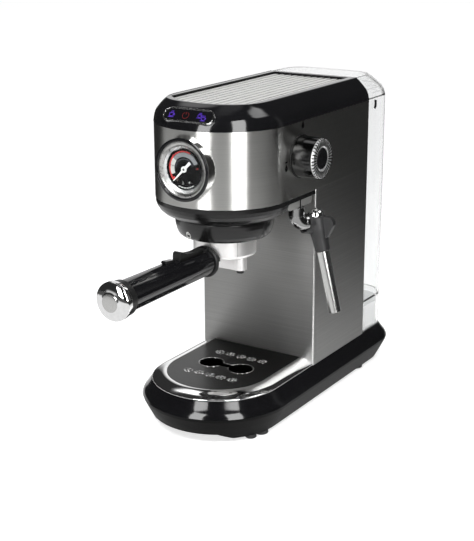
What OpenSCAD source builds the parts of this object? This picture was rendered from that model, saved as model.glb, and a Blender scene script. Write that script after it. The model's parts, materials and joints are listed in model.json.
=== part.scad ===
// Slim pump espresso machine, in millimetres. X is to the machine's right-hand side as a user
// faces it, -Y is the front, Z is up from the table. The origin is on the table at the middle of
// the base. Front ends of the base, head and drip tray are half circles; straight sides follow.

/* [Base] */
// Height of the rubber feet under the base
foot_h = 4; // [3:0.5:8]
// Height of the base above its feet
base_h = 38; // [36:0.5:46]
// Length of the base over its widest ridge
base_l = 324; // [312:1:350]
// How far the widest ridge of the base stands out past the body
ridge_out = 9.5; // [7:0.5:13]
// Height of the ridge above the feet
ridge_h = 24; // [21:0.5:27]
// Radius of the base's rear corners at the top edge
rear_corner_r = 30; // [24:1:40]
// Radius of each foot
foot_r = 7; // [5:0.5:8]
// Height of the finger recess under the base's front edge
recess_h = 5.4; // [3:0.2:7]

/* [Body] */
// Width of the steel body
body_w = 130; // [124:1:140]
// Depth of the column, front to back
column_d = 108; // [100:1:116]
// Height of the column between the base and the head
column_h = 179.5; // [172:0.5:200]
// Thickness of the brushed steel sheets
sheet_t = 1; // [0.6:0.1:1.6]
// Wall of the plastic mouldings
wall = 2.5; // [2:0.1:3]

/* [Head] */
// Height of the steel band round the head
head_h = 70; // [66:1:80]
// Distance from the column's front to the axis of the brew group
group_reach = 59; // [57:0.5:66]
// Height of the plastic cap above the steel band
cap_h = 21.5; // [18:0.5:26]
// How far the cap leans in on each side
cap_lean = 15; // [12:0.5:17]
// How far the cap leans back at the front
cap_lean_front = 19; // [17:0.5:21]
// Depth of the cup plate's recess below the cap's lip
plate_recess = 1.8; // [1:0.1:3]
// Number of ribs on the cup plate
rib_count = 11; // [7:1:13]
// Height of the black underside of the head
chin_h = 18.5; // [16:0.5:22]
// Radius of the collar round the brew group
collar_r = 47; // [45:0.5:50]
// Height of the collar
collar_h = 19.4; // [18.4:0.2:21]

/* [Gauge] */
// Radius of the pressure gauge's housing
gauge_r = 28.5; // [26:0.5:31]
// How far the gauge stands out in front of the steel band
gauge_out = 5.5; // [4:0.5:9]
// Radius of the gauge's dial
dial_r = 18.4; // [17.2:0.2:20]
// Depth of the dial behind the gauge's front edge
dial_sunk = 5.4; // [4.8:0.2:6.4]

/* [Steam knob] */
// Radius of the knob at its foot
knob_r = 19.4; // [16:0.2:22]
// Depth of the knob
knob_d = 23.2; // [18:0.2:28]
// Distance of the knob's axis in front of the column
knob_ahead = 30.5; // [27:0.5:36]
// Number of teeth on the knob's serrated ring
knob_teeth = 36; // [24:1:48]
// Radius of the steam valve's spindle
spindle_r = 4; // [3:0.25:5]

/* [Portafilter] */
// Outer radius of the portafilter's cup
cup_r = 30.2; // [29.4:0.1:30.8]
// Height of the portafilter's cup
cup_h = 31.5; // [30:0.5:34]
// Wall of the portafilter's cup
cup_wall = 2.6; // [2:0.1:3]
// Depth of the filter basket
basket_h = 22; // [18:0.5:24]
// Length of the handle's barrel
barrel_l = 122; // [104:1:136]
// Radius of the handle's barrel next to the group
barrel_r = 13; // [12.4:0.2:13.6]
// Radius of the handle's barrel at its outer end
barrel_end_r = 14.1; // [13:0.1:15.2]
// Radius of the chrome end cap
end_cap_r = 17.5; // [16.9:0.1:19]
// Distance of each coffee spout from the middle
spout_x = 17; // [14:0.5:20]

/* [Steam wand] */
// Length of the wand's steel sleeve below the grip
sleeve_l = 60.5; // [45:0.5:75]
// Outer radius of the steel sleeve
sleeve_r = 6; // [5:0.25:7]
// Outward lean of the wand at rest, in degrees
wand_lean = 13.8; // [8:0.1:18]
// Radius of the elbow pipe
elbow_r = 7.8; // [7:0.2:8.4]

/* [Water tank] */
// Depth of the tank, front to back
tank_d = 58.5; // [54:0.5:60]
// Wall of the clear tank
tank_wall = 2.2; // [1.6:0.1:2.8]
// Height of the tank's floor above the base
tank_floor_h = 33; // [28:0.5:40]
// Height of the tank's lid
lid_h = 21; // [17:0.5:24]
// Radius of the tank's rear corners
tank_corner_r = 27; // [22:0.5:30]

/* [Drip tray] */
// Width of the chrome band round the drip plate
band_w = 14.5; // [12:0.5:17]
// How far the chrome band rises towards the drip plate
band_rise = 6.4; // [4:0.2:8]
// Depth of the drip basin
basin_d = 26; // [20:0.5:27]
// Radius of the two round openings in the drip plate
drain_r = 12; // [10:0.5:13]

/* [Fits] */
// Clearance between parts that lift apart
lift_gap = 0.4; // [0.3:0.05:0.6]
// Radial clearance of shafts and pins in their bores
run_gap = 0.06; // [0.03:0.01:0.1]
// Gap between parts that are clipped or screwed together
seat_gap = 0.1; // [0.05:0.05:0.2]
// Clearance between a moving part and the face it passes
pass_gap = 0.5; // [0.4:0.05:0.7]

/* [Hidden] */
$fn = 96;
small_fn = 32;
eps = 0.01;
half_w = body_w / 2;

// levels, bottom to top
base_top = foot_h + base_h;
ridge_z = foot_h + ridge_h;
band_z = base_top + column_h;
cap_z = band_z + head_h;
cap_top = cap_z + cap_h;
chin_z = band_z - chin_h;
collar_z = chin_z - collar_h;

// places along Y, from the base's two ends inwards
base_back = base_l / 2;
plan_cy = -base_l / 2 + ridge_out + half_w;
plan_back = base_back - ridge_out;
tank_back = plan_back - lift_gap;
tank_front = tank_back - tank_d;
column_back = tank_front - pass_gap * 3;
column_front = column_back - column_d;
group_y = column_front - group_reach;
head_front = group_y - half_w;

// ---------------------------------------------------------------- shared shapes

// the base's outline moved out by d: half circle in front, round corners behind
module base_plan(d) {
  r = rear_corner_r + d;
  translate([0, plan_cy]) circle(half_w + d);
  translate([-half_w - d, plan_cy])
    square([2 * (half_w + d), plan_back - rear_corner_r - plan_cy]);
  translate([rear_corner_r - half_w, plan_cy])
    square([2 * (half_w - rear_corner_r), plan_back + d - plan_cy]);
  for (s = [-1, 1])
    translate([s * (half_w - rear_corner_r), plan_back - rear_corner_r]) circle(r);
}

// a wall section, as [distance out from the base plan, height] points, carried round the base
module base_sweep(section) {
  front = [for (p = section) [half_w + p[0], p[1]]];
  corner = [for (p = section) [rear_corner_r + p[0], p[1]]];
  straight = plan_back - rear_corner_r - plan_cy;
  translate([0, plan_cy, 0]) rotate([0, 0, 180]) rotate_extrude(angle = 180) polygon(front);
  for (s = [0, 1]) mirror([s, 0, 0]) {
    translate([0, plan_cy, 0]) rotate([90, 0, 180]) mirror([1, 0, 0])
      linear_extrude(straight) polygon(front);
    translate([half_w - rear_corner_r, plan_back - rear_corner_r, 0])
      rotate_extrude(angle = 90) polygon(corner);
  }
  translate([half_w - rear_corner_r, plan_back - rear_corner_r, 0]) rotate([90, 0, -90])
    mirror([1, 0, 0]) linear_extrude(2 * (half_w - rear_corner_r)) polygon(corner);
}

// the drip tray's outline moved out by d, flat behind at the column
tray_back = column_front - lift_gap;
module tray_plan(d, back = tray_back) {
  translate([0, plan_cy]) circle(half_w + d);
  translate([-half_w - d, plan_cy]) square([2 * (half_w + d), back - plan_cy]);
}

// a section carried round the drip tray's front and sides only
module tray_sweep(section) {
  profile = [for (p = section) [half_w + p[0], p[1]]];
  translate([0, plan_cy, 0]) rotate([0, 0, 180]) rotate_extrude(angle = 180) polygon(profile);
  for (s = [0, 1]) mirror([s, 0, 0]) translate([0, plan_cy, 0]) rotate([90, 0, 180])
    mirror([1, 0, 0]) linear_extrude(tray_back - plan_cy) polygon(profile);
}

// the head's outline moved out by d
module head_plan(d, back = column_back) {
  translate([0, group_y]) circle(half_w + d);
  translate([-half_w - d, group_y]) square([2 * (half_w + d), back - group_y]);
}

// a rectangle with round corners, from its low corner
module round_rect(size, r) {
  translate([r, 0]) square([size[0] - 2 * r, size[1]]);
  translate([0, r]) square([size[0], size[1] - 2 * r]);
  for (x = [r, size[0] - r], y = [r, size[1] - r]) translate([x, y]) circle(r);
}

// the tank's outline moved in by d: square front corners, round rear ones
tank_half_w = half_w - 1;
module tank_plan(d, front = tank_front, back = tank_back) {
  r = tank_corner_r - d;
  w = tank_half_w - d;
  translate([-w, front + d]) square([2 * w, back - front - tank_corner_r - d]);
  translate([r - w, front + d]) square([2 * (w - r), back - front - 2 * d]);
  for (s = [-1, 1]) translate([s * (w - r), back - d - r]) circle(r);
}

// a tube along straight legs and round bends, from a list of points, each bend a ball joint
module pipe_run(points, r) {
  for (i = [0 : len(points) - 2]) {
    a = points[i];
    v = points[i + 1] - a;
    translate(a) rotate([0, acos(v[2] / norm(v)), atan2(v[1], v[0])])
      cylinder(r = r, h = norm(v), $fn = small_fn);
  }
  if (len(points) > 2)
    for (i = [1 : len(points) - 2]) translate(points[i]) sphere(r = r, $fn = small_fn);
}

// closed skin through rings of points that all have the same count
module skin(rings) {
  n = len(rings[0]);
  m = len(rings);
  points = [for (ring = rings, p = ring) p];
  sides = [for (j = [0 : m - 2], i = [0 : n - 1], t = [0, 1])
    let (a = j * n + i, b = j * n + (i + 1) % n)
    t == 0 ? [a, a + n, b] : [b, a + n, b + n]];
  bottom = [for (i = [0 : n - 1]) i];
  top = [for (i = [0 : n - 1]) m * n - 1 - i];
  polyhedron(points = points, faces = concat(sides, [bottom], [top]), convexity = 6);
}

// ---------------------------------------------------------------- base

plate_t = 2.5;
floor_z = foot_h + recess_h;
skirt_in = -2;
foot_ring = half_w + skirt_in - foot_r + 0.6;
pad_r = foot_r * 0.8;
pad_ring = half_w + skirt_in - pad_r + 0.8;
// each foot: [x, y, radius]
foot_places = [for (s = [-1, 1]) each [
  [s * foot_ring * cos(12), plan_cy - foot_ring * sin(12), foot_r],
  [s * pad_ring * cos(26), plan_cy - pad_ring * sin(26), pad_r],
  [s * (half_w + skirt_in - foot_r - 1), plan_back - rear_corner_r - 24, foot_r]]];

base_wall = [[0, base_top], [0, base_top - 1.5], [ridge_out * 0.5, base_top - 6.5],
  [ridge_out * 0.82, base_top - 10.5], [ridge_out, ridge_z], [ridge_out - wall, ridge_z],
  [ridge_out * 0.82 - wall, base_top - 12], [-wall, base_top - 5], [-wall, base_top]];
well_edge = band_w * 0.35;
deck_lip = 16;

// gloss black upper shell, with the well for the drip basin and the deck that carries the column
module base_shell() {
  color("#101010") difference() {
    union() {
      base_sweep(base_wall);
      translate([0, 0, base_top - wall]) linear_extrude(wall) difference() {
        base_plan(-wall / 2);
        tray_plan(-well_edge, tray_back + lift_gap / 2);
        translate([-half_w + deck_lip, column_front + deck_lip])
          square([body_w - 2 * deck_lip, column_d - 2 * deck_lip]);
      }
      for (p = boss_places) translate([p[0], p[1], floor_z + plate_t + seat_gap])
        cylinder(r = boss_r, h = base_top - wall - floor_z - plate_t - seat_gap + eps);
    }
    for (p = boss_places) translate([p[0], p[1], 0])
      cylinder(r = screw_r + run_gap, h = floor_z + screw_l + 1);
  }
}

// satin black lower moulding: the tapering skirt, the floor and the finger recess in front
skirt_wall = [[ridge_out, ridge_z - seat_gap], [ridge_out * 0.9, ridge_z - 3.4],
  [ridge_out * 0.48, ridge_z - 11.4], [skirt_in + 2, foot_h + 4], [skirt_in + 0.5, foot_h + 1.2],
  [skirt_in, foot_h], [skirt_in - wall, foot_h], [skirt_in - wall, foot_h + 3.4],
  [ridge_out - wall, ridge_z - 2.5], [ridge_out - wall, ridge_z - seat_gap]];
recess_w = 69;
recess_slope = 12;
vent_count = 9;

module base_floor() {
  color("#1c1c1c") difference() {
    union() {
      base_sweep(skirt_wall);
      translate([0, 0, floor_z]) linear_extrude(plate_t) base_plan(skirt_in + 1);
    }
    translate([0, plan_cy, 0]) rotate([90, 0, 0]) linear_extrude(half_w + ridge_out + 1)
      polygon([[-recess_w / 2 - recess_slope, foot_h - 1], [-recess_w / 2, foot_h + recess_h],
        [recess_w / 2, foot_h + recess_h], [recess_w / 2 + recess_slope, foot_h - 1]]);
    for (p = boss_places) translate([p[0], p[1], 0]) cylinder(r = screw_r + 0.3, h = ridge_z);
    for (i = [0 : vent_count - 1]) translate([(i - (vent_count - 1) / 2) * 6 - 1.25, 40, foot_h])
      cube([2.5, 34, recess_h + plate_t + 1]);
    for (p = foot_places) translate([p[0], p[1], 0]) {
      cylinder(r = foot_stud_r, h = floor_z + plate_t + 1);
      cylinder(r = foot_stud_r + 1, h = floor_z);
    }
  }
}

foot_stud_r = 3.5;

// rubber feet, each with a stud pressed up through the floor
module feet() {
  color("#161616") for (p = foot_places) translate([p[0], p[1], 0]) {
    rotate_extrude() polygon([[0, 0], [p[2] - 0.8, 0], [p[2], 0.8],
      [p[2] - 0.4, foot_h - seat_gap], [foot_stud_r + 0.8, foot_h - seat_gap],
      [foot_stud_r + 0.8, floor_z - seat_gap], [0, floor_z - seat_gap]]);
    cylinder(r = foot_stud_r - 0.05, h = floor_z + plate_t);
  }
}

boss_r = 4.6;
screw_r = 1.8;
screw_l = 14;
screw_head_r = 3.6;
screw_head_h = 3;
boss_places = [for (s = [-1, 1]) each [[s * (half_w - 9), column_front + 10],
  [s * (half_w - 9), column_front + 56],
  [s * 30, plan_back - 9]]];

// six screws that hold the floor to the bosses under the deck
module base_screws() {
  color("#8a8a88") for (p = boss_places) translate([p[0], p[1], floor_z - screw_head_h])
    difference() {
      union() {
        cylinder(r = screw_head_r, h = screw_head_h - seat_gap);
        cylinder(r = screw_r, h = screw_l + screw_head_h - 1);
      }
      translate([0, 0, -eps]) cylinder(r = 1.7, h = 1.4, $fn = 6);
    }
}

// ---------------------------------------------------------------- column

// one brushed steel sheet folded into the column's front and two sides
fold_r = 1.6;
module column_shell() {
  color("#a6a6a2") translate([0, 0, base_top]) linear_extrude(column_h) difference() {
    translate([-half_w, column_front]) round_rect([body_w, column_d + fold_r + 2], fold_r);
    translate([-half_w + sheet_t, column_front + sheet_t])
      square([body_w - 2 * sheet_t, column_d + fold_r + 4]);
    translate([-half_w - 1, column_back]) square([body_w + 2, fold_r + 4]);
  }
}

// the plastic back of the column and head, with the shelves that carry the pump
panel_t = 3;
shelf_d = 52;
pump_y = column_back - 42;
pump_r = 17;
pump_l = 84;
hose_r = 3;
pump_low = 28;
pump_zs = [base_top + pump_low, base_top + pump_low + pump_l - 4];
pump_hole_r = pump_r + 5;
module rear_panel() {
  inner = half_w - sheet_t - seat_gap;
  color("#202020") difference() {
    union() {
      translate([-inner, column_back - panel_t, base_top + seat_gap])
        cube([2 * inner, panel_t, column_h + head_h - 2 * seat_gap]);
      for (z = pump_zs) translate([-30, pump_y - shelf_d / 2, z])
        cube([60, column_back - panel_t - pump_y + shelf_d / 2 + eps, 3]);
      for (s = [-1, 1], z = pump_zs) translate([s * 30 - 1.5, pump_y, z - 14])
        cube([3, column_back - panel_t - pump_y + eps, 14 + eps]);
    }
    for (z = pump_zs) translate([0, pump_y, z - 1]) cylinder(r = pump_hole_r, h = 5);
    for (i = [0 : 6]) translate([-24 + 8 * i - 1.5, column_back - panel_t - 1, cap_z - 34])
      cube([3, panel_t + 2, 22]);
    translate([0, column_back + 1, dock_port_z]) rotate([90, 0, 0]) cylinder(r = 6, h = panel_t + 2);
  }
}

// ---------------------------------------------------------------- tank dock

dock_h = tank_floor_h - 6;
dock_valve_y = tank_front + 20;
dock_port_z = base_top + 14;
seal_r = 9;

// the step that the tank stands over, with the water port and the pin that opens the tank's valve
module tank_dock() {
  color("#7d7f80") difference() {
    union() {
      translate([0, 0, base_top + seat_gap]) linear_extrude(dock_h - seat_gap)
        tank_plan(tank_wall + pass_gap + 0.8);
      translate([0, dock_valve_y, base_top + dock_h - eps]) cylinder(r = seal_r + 2.4, h = 3);
      translate([0, column_back + seat_gap, dock_port_z]) rotate([-90, 0, 0])
        cylinder(r = 5.5, h = dock_valve_y - column_back);
    }
    translate([0, dock_valve_y, dock_port_z - 4]) cylinder(r = 4.2, h = 60);
    translate([0, dock_valve_y, base_top + dock_h]) cylinder(r = seal_r, h = 4);
    translate([0, column_back - 1, dock_port_z]) rotate([-90, 0, 0])
      cylinder(r = hose_r + run_gap, h = dock_valve_y - column_back + 1);
  }
  color("#7d7f80") translate([0, dock_valve_y, 0]) {
    translate([0, 0, dock_port_z - 5]) cylinder(r = 1.3, h = base_top + tank_floor_h - dock_port_z + 5.1);
    translate([-5, -0.8, dock_port_z + 2]) cube([10, 1.6, dock_h - 18]);
  }
}

// soft ring that seals the tank's foot
module dock_seal() {
  color("#b0403a") translate([0, dock_valve_y, base_top + dock_h + seat_gap]) rotate_extrude()
    polygon([[5.6, 0], [seal_r - seat_gap, 0], [seal_r - seat_gap, 3], [7.6, 3.8], [6.4, 3.2], [5.6, 1]]);
}

// ---------------------------------------------------------------- head

deck_t = 3;
deck_z = band_z + 1;
boiler_flange_r = 39;
boiler_neck_r = 33.5;

// the inner floor of the head, which carries the boiler, the band, the chin and the cap
module head_deck() {
  color("#2a2a2a") difference() {
    union() {
      translate([0, 0, deck_z]) linear_extrude(deck_t)
        head_plan(-sheet_t - seat_gap, column_back - panel_t - seat_gap);
      for (p = cap_posts) translate([p[0], p[1], deck_z])
        cylinder(r = post_r, h = cap_z - deck_z - seat_gap);
      for (s = [-1, 1]) translate([s * 20 - 1.5, gauge_front + gauge_len + 4 + pass_gap, deck_z])
        cube([3, 9, head_h - 16]);
    }
    translate([0, group_y, deck_z - 1]) cylinder(r = boiler_neck_r + pass_gap, h = deck_t + 2);
    translate([-deck_window_w / 2, column_front + 8, deck_z - 1])
      cube([deck_window_w, column_d - 44, deck_t + 2]);
    translate([elbow_x, elbow_y, deck_z - 1]) cylinder(r = spigot_r + 0.3, h = deck_t + 2);
    for (a = bolt_angles) translate([0, group_y, deck_z - 1]) rotate([0, 0, a])
      translate([bolt_circle_r, 0, 0]) cylinder(r = 2.1, h = deck_t + 2);
  }
}
deck_window_w = 44;
post_r = 4;
post_side = half_w - 9;
cap_posts = [[-post_side, column_front - 4], [post_side, column_front + 12],
  [-post_side, column_back - 18], [post_side, column_back - 18]];

// the brushed steel band round the head
module head_band() {
  color("#c4c4c0") difference() {
    translate([0, 0, band_z]) linear_extrude(head_h) difference() {
      head_plan(0);
      head_plan(-sheet_t, column_back + 1);
    }
    translate([0, head_front - 1, gauge_z]) rotate([-90, 0, 0])
      cylinder(r = gauge_back_r + seat_gap, h = 40);
    translate([half_w - 4, knob_y, knob_z]) rotate([0, 90, 0]) cylinder(r = spindle_r + 2, h = 8);
  }
}

// the black underside: a straight black edge and a bowl that rounds down to the collar
chin_edge = 4.5;
chin_inset = 0.5;
bowl_w = half_w - chin_inset;
bowl_top = band_z - chin_edge;
bowl_h = bowl_top - chin_z;

// solid of the bowl, its outer face moved out by d
module bowl(d) {
  translate([0, group_y, 0]) rotate_extrude() polygon([[collar_r - 8, chin_z - d],
    [collar_r + 1.5, chin_z + 0.2 - d],
    [collar_r + 6, chin_z + bowl_h * 0.1 - d], [bowl_w - 7 + d, chin_z + bowl_h * 0.27 - d],
    [bowl_w - 3.5 + d, chin_z + bowl_h * 0.5], [bowl_w - 1.3 + d, chin_z + bowl_h * 0.75],
    [bowl_w + d, bowl_top], [bowl_w - 0.4, bowl_top + 0.6], [collar_r - 8, bowl_top + 0.6]]);
}
module head_chin() {
  color("#222222") difference() {
    union() {
      translate([0, 0, bowl_top]) linear_extrude(chin_edge - seat_gap)
        head_plan(-chin_inset, column_front - seat_gap);
      bowl(0);
    }
    translate([0, group_y, chin_z - 1]) cylinder(r = boiler_flange_r + 1, h = chin_h + 2);
    translate([-half_w, column_front - seat_gap, chin_z - 1]) cube([body_w, half_w, chin_h + 2]);
    translate([0, 0, bowl_top + 1]) linear_extrude(chin_edge + 1) difference() {
      head_plan(-chin_inset - wall, column_front - wall);
      translate([0, group_y]) circle(collar_r - 3);
    }
    translate([0, group_y, 0]) rotate_extrude() polygon([[collar_r - 2, bowl_top + 1.4],
      [bowl_w - 4, bowl_top + 1.4],
      [bowl_w - 8, chin_z + bowl_h * 0.5], [collar_r + 2, chin_z + bowl_h * 0.34],
        [collar_r - 2, chin_z + 3]]);
    translate([elbow_x, elbow_y, 0]) {
      cylinder(r = spigot_r + 0.3, h = band_z + 10);
      cylinder(r = elbow_r + pass_gap, h = bracket_z);
    }
  }
}

// cast bracket under the side of the head that holds the elbow's root
bracket_l = 44;
bracket_h = 7;
bracket_z = band_z - chin_edge - seat_gap - bracket_h;
module elbow_bracket() {
  r = 3.4;
  color("#8d8d8a") difference() {
    translate([half_w - 1.6, column_front - 5 - bracket_l, bracket_z]) rotate([0, -90, 0])
      linear_extrude(19) {
      translate([r, 0]) square([bracket_h - r, bracket_l]);
      translate([0, r]) square([bracket_h, bracket_l - 2 * r]);
      for (y = [r, bracket_l - r]) translate([r, y]) circle(r);
    }
    translate([elbow_x, elbow_y, 0]) cylinder(r = spigot_r + run_gap, h = band_z);
    bowl(seat_gap);
  }
}

// the glossy collar that hides the bayonet ring, with its parting groove
collar_bore = cup_r + 1.6;
collar_split = -4;
module group_collar() {
  z = collar_z;
  h = collar_h - seat_gap;
  color("#191919") translate([0, group_y, 0]) difference() {
    rotate_extrude() polygon([[collar_bore, z], [collar_r - 9.5, z], [collar_r - 5.2, z + 0.9],
      [collar_r - 3.2, z + 2.7], [collar_r - 1.9, z + 5.5], [collar_r - 1, z + 8.8],
        [collar_r - 0.3, z + 12.3],
      [collar_r, z + 16], [collar_r, z + h - 1], [collar_r - 0.6, z + h], [collar_r - 8.5, z + h],
      [collar_r - 8.5, z + 3], [collar_bore, z + 1.8]]);
    rotate([0, 0, collar_split]) translate([collar_r - 5.5, 0, z + h]) rotate([-18, 0, 0])
      translate([0, -0.35, -h - 1]) cube([8, 0.7, h + 4]);
    rotate([0, 0, -90]) translate([collar_bore - 2, -6, z - 1]) cube([3, 12, 1.6]);
  }
}

// gloss black cap: a loft from the head's outline to a squarer, smaller lip
cap_steps = [[0, 0], [0.28, 0.09], [0.47, 0.22], [0.6, 0.385], [0.71, 0.54], [0.86, 0.76], [0.97, 0.96],
  [1, 1]];
cap_round = 2.65;
lip_half_w = half_w - cap_lean;
arc_steps = 40;

// one ring of the cap: t is 0 at the band and 1 at the lip, g thins the shape for the inside
function cap_ring(t, z, g, back) = let (
    n = 2 + (cap_round - 2) * t,
    w = half_w - cap_lean * t - g,
    d = half_w - cap_lean_front * t - g)
  concat([for (i = [0 : arc_steps])
      let (a = 180 - 180 * i / arc_steps, c = cos(a), s = sin(a))
      [w * sign(c) * pow(abs(c), 2 / n), group_y - d * pow(abs(s), 2 / n), z]],
    [[w, back, z], [-w, back, z]]);

module cap_solid(g, back, drop = 0) {
  skin([for (s = cap_steps) cap_ring(s[1], cap_z + cap_h * s[0] - drop, g, back)]);
}

module lip_plan(d) {
  w = plate_half_w + d;
  intersection() {
    translate([-w, group_y - half_w]) square([2 * w, plate_back + d - group_y + half_w]);
    union() {
      translate([0, plate_arc_cy]) circle(plate_arc_r + d);
      translate([-w, plate_arc_cy]) square([2 * w, plate_back + d - plate_arc_cy]);
    }
  }
}
plate_half_w = lip_half_w - 7;
plate_arc_r = 56;
plate_arc_cy = group_y + 13.5;
plate_back = column_back - 4.5;
rib_h = 1.1;
plate_sheet = 1;
plate_z = cap_top - plate_recess - rib_h - plate_sheet;

module top_cap() {
  color("#0d0d0d") difference() {
    cap_solid(0, column_back);
    difference() {
      union() {
        cap_solid(wall, column_back - wall, wall);
        translate([0, 0, cap_z - 1]) linear_extrude(1 + eps) head_plan(-wall, column_back - wall);
      }
      translate([0, 0, plate_z - 4]) linear_extrude(10) lip_plan(3);
      translate([-30, head_front, cap_z]) cube([60, 26, cap_h]);
    }
    translate([0, 0, plate_z - seat_gap]) linear_extrude(20) lip_plan(seat_gap);
    translate([0, 0, cap_z - 1]) linear_extrude(plate_z - 2 - cap_z + 1) lip_plan(-4);
    panel_frame() translate([0, 0, -panel_sunk - 1.6]) linear_extrude(12) slot_plan(ring_w + seat_gap);
  }
}

// ribbed metal plate that warms cups, its ribs running front to back with round rear ends
rib_pitch = 2 * (plate_half_w - 1) / rib_count;
module cup_plate() {
  color("#cfcfca") {
    translate([0, 0, plate_z]) linear_extrude(plate_sheet) intersection() {
      lip_plan(-lift_gap / 2);
      rib_plan(1.2);
    }
    translate([0, 0, plate_z + plate_sheet - eps]) linear_extrude(rib_h) intersection() {
      lip_plan(-lift_gap / 2 - 0.8);
      rib_plan(0);
    }
  }
}
module rib_plan(d) {
  rib_w = rib_pitch * 0.74;
  for (i = [0 : rib_count - 1])
    translate([(i - (rib_count - 1) / 2) * rib_pitch, 0]) {
      translate([-rib_w / 2 - d, head_front]) square([rib_w + 2 * d, plate_back - head_front - rib_w]);
      translate([0, plate_back - rib_w]) circle(rib_w / 2 + d, $fn = small_fn);
    }
}

// ---------------------------------------------------------------- touch panel

panel_l = 51.4;
panel_w = 11.9;
ring_w = 1.3;
panel_sunk = 0.6;
panel_y = head_front + cap_lean_front * 0.385;
panel_z = cap_z + cap_h * 0.56;
panel_tilt = 49;

// carries its children to the sloping front of the cap, with Z straight out of the slope
module panel_frame() {
  translate([0, panel_y, panel_z]) rotate([panel_tilt, 0, 0]) children();
}
module slot_plan(d) {
  w = panel_w / 2 + d;
  for (s = [-1, 1]) translate([s * (panel_l / 2 - panel_w / 2), 0]) circle(w);
  translate([-(panel_l - panel_w) / 2, -w]) square([panel_l - panel_w, 2 * w]);
}
module touch_panel() {
  color("#060606") panel_frame() translate([0, 0, -panel_sunk - 1.5]) linear_extrude(2.4)
    slot_plan(-seat_gap);
}
module touch_ring() {
  color("#e6e6e6") panel_frame() translate([0, 0, -panel_sunk - 1.5]) linear_extrude(3) difference() {
    slot_plan(ring_w);
    slot_plan(0);
  }
}

// ---------------------------------------------------------------- pressure gauge

gauge_z = band_z + head_h * 0.505;
gauge_front = head_front - gauge_out;
gauge_back_r = gauge_r - 3.5;
gauge_len = 20;
funnel_r = gauge_r - 3;
dial_y = gauge_front + dial_sunk;

// carries children to the gauge: their Z runs into the machine from the gauge's front edge
module gauge_frame() {
  translate([0, gauge_front, gauge_z]) rotate([-90, 0, 0]) children();
}

// chromed cup whose foot passes through the steel band, its flange curved to the band
module gauge_housing() {
  color("#d8d8d8") difference() {
    gauge_frame() rotate_extrude() polygon([[funnel_r + 0.2, 1.2], [gauge_r, 1.2], [gauge_r, 13.5],
      [gauge_back_r, 13.5], [gauge_back_r, gauge_len + 4], [6, gauge_len + 4], [6, gauge_len + 2],
      [gauge_back_r - 2, gauge_len + 2], [gauge_back_r - 2, 10], [funnel_r + 0.2, 8]]);
    translate([0, group_y, band_z]) difference() {
      cylinder(r = half_w + seat_gap, h = head_h);
      translate([0, 0, -1]) cylinder(r = half_w - sheet_t - 3, h = head_h + 2);
      translate([0, -half_w, gauge_z - band_z]) rotate([90, 0, 0]) translate([0, 0, -40])
        cylinder(r = gauge_back_r, h = 80);
    }
  }
}

// black trim ring on the gauge's front edge
module gauge_ring() {
  color("#0a0a0a") gauge_frame() rotate_extrude() polygon([[funnel_r, 0.5], [funnel_r + 0.7, 0],
    [gauge_r - 0.8, 0], [gauge_r + 0.2, 0.6], [gauge_r + 0.2, 1.1], [funnel_r, 1.1]]);
}

// silvered funnel between the trim ring and the dial
module gauge_funnel() {
  color("#bdbdbd") gauge_frame() rotate_extrude() polygon([[funnel_r - seat_gap, 1.3],
    [funnel_r - 1.4, 1.3],
    [funnel_r - 2.6, 2], [dial_r + 0.6, dial_sunk - 0.4], [dial_r + 0.6, dial_sunk + 1.3],
    [gauge_back_r - 0.5, 7.6], [gauge_back_r - 0.5, 5], [funnel_r - seat_gap, 4.4]]);
}

// the dial disc and the post that the needle turns on
needle_post_r = 0.9;
module gauge_dial() {
  color("#111111") gauge_frame() difference() {
    union() {
      translate([0, 0, dial_sunk]) cylinder(r = dial_r, h = 1.2);
      translate([0, 0, dial_sunk + 1.1]) cylinder(r = 7, h = gauge_len + 2 - dial_sunk - 1.2);
    }
    translate([0, 0, dial_sunk - 1]) cylinder(r = needle_post_r + run_gap, h = 9);
  }
}

// pointer with its tail and hub, on a short arbor; at rest it points to zero, down and to the left
needle_rest = 225;
module gauge_needle() {
  color("#f2f2f2") gauge_frame() rotate([0, 0, 90 - needle_rest]) {
    translate([0, 0, dial_sunk - 1.2]) linear_extrude(0.6) {
      polygon([[-0.35, -16.5], [0.35, -16.5], [1, 0], [1.3, 9], [-1.3, 9], [-1, 0]]);
      circle(2.8, $fn = small_fn);
    }
    translate([0, 0, dial_sunk - 1.6]) cylinder(r = needle_post_r, h = 8.4, $fn = small_fn);
  }
}

// clear disc over the dial, clipped into the funnel
module gauge_lens() {
  color([0.9, 0.95, 1, 0.3]) gauge_frame() translate([0, 0, 2.3]) cylinder(r = funnel_r - 4.4, h = 1);
}

// ---------------------------------------------------------------- steam valve and knob

knob_y = column_front - knob_ahead;
knob_z = band_z + head_h * 0.539;
knob_plate_t = 1.2;
spindle_l = 34;
valve_x = half_w - 28;

// carries children to the knob's axis: their Z runs out of the machine's side
module knob_frame() {
  translate([half_w, knob_y, knob_z]) rotate([0, 90, 0]) children();
}

// thin ring between the steel band and the knob
module knob_plate() {
  color("#3a3a3a") knob_frame() difference() {
    translate([0, 0, seat_gap]) cylinder(r = knob_r + 0.8, h = knob_plate_t);
    translate([0, 0, -1]) cylinder(r = spindle_r + 1, h = 4);
  }
}

// brass valve body inside the head, with its bonnet, boss and outlet
module steam_valve() {
  color("#b08d4a") difference() {
    union() {
      knob_frame() {
        translate([0, 0, -sheet_t - seat_gap - 14]) cylinder(r = 9, h = 14, $fn = 6);
        translate([0, 0, -spindle_l]) cylinder(r = 7.5, h = spindle_l - 12);
      }
      translate([valve_x, knob_y, knob_z - 20]) cylinder(r = 5, h = 20);
      translate([valve_x - 6, knob_y - 6, deck_z + deck_t]) cube([12, 12, knob_z - deck_z - deck_t - 16]);
    }
    knob_frame() translate([0, 0, -spindle_l + 6]) cylinder(r = spindle_r + run_gap, h = spindle_l + 4);
  }
}

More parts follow.
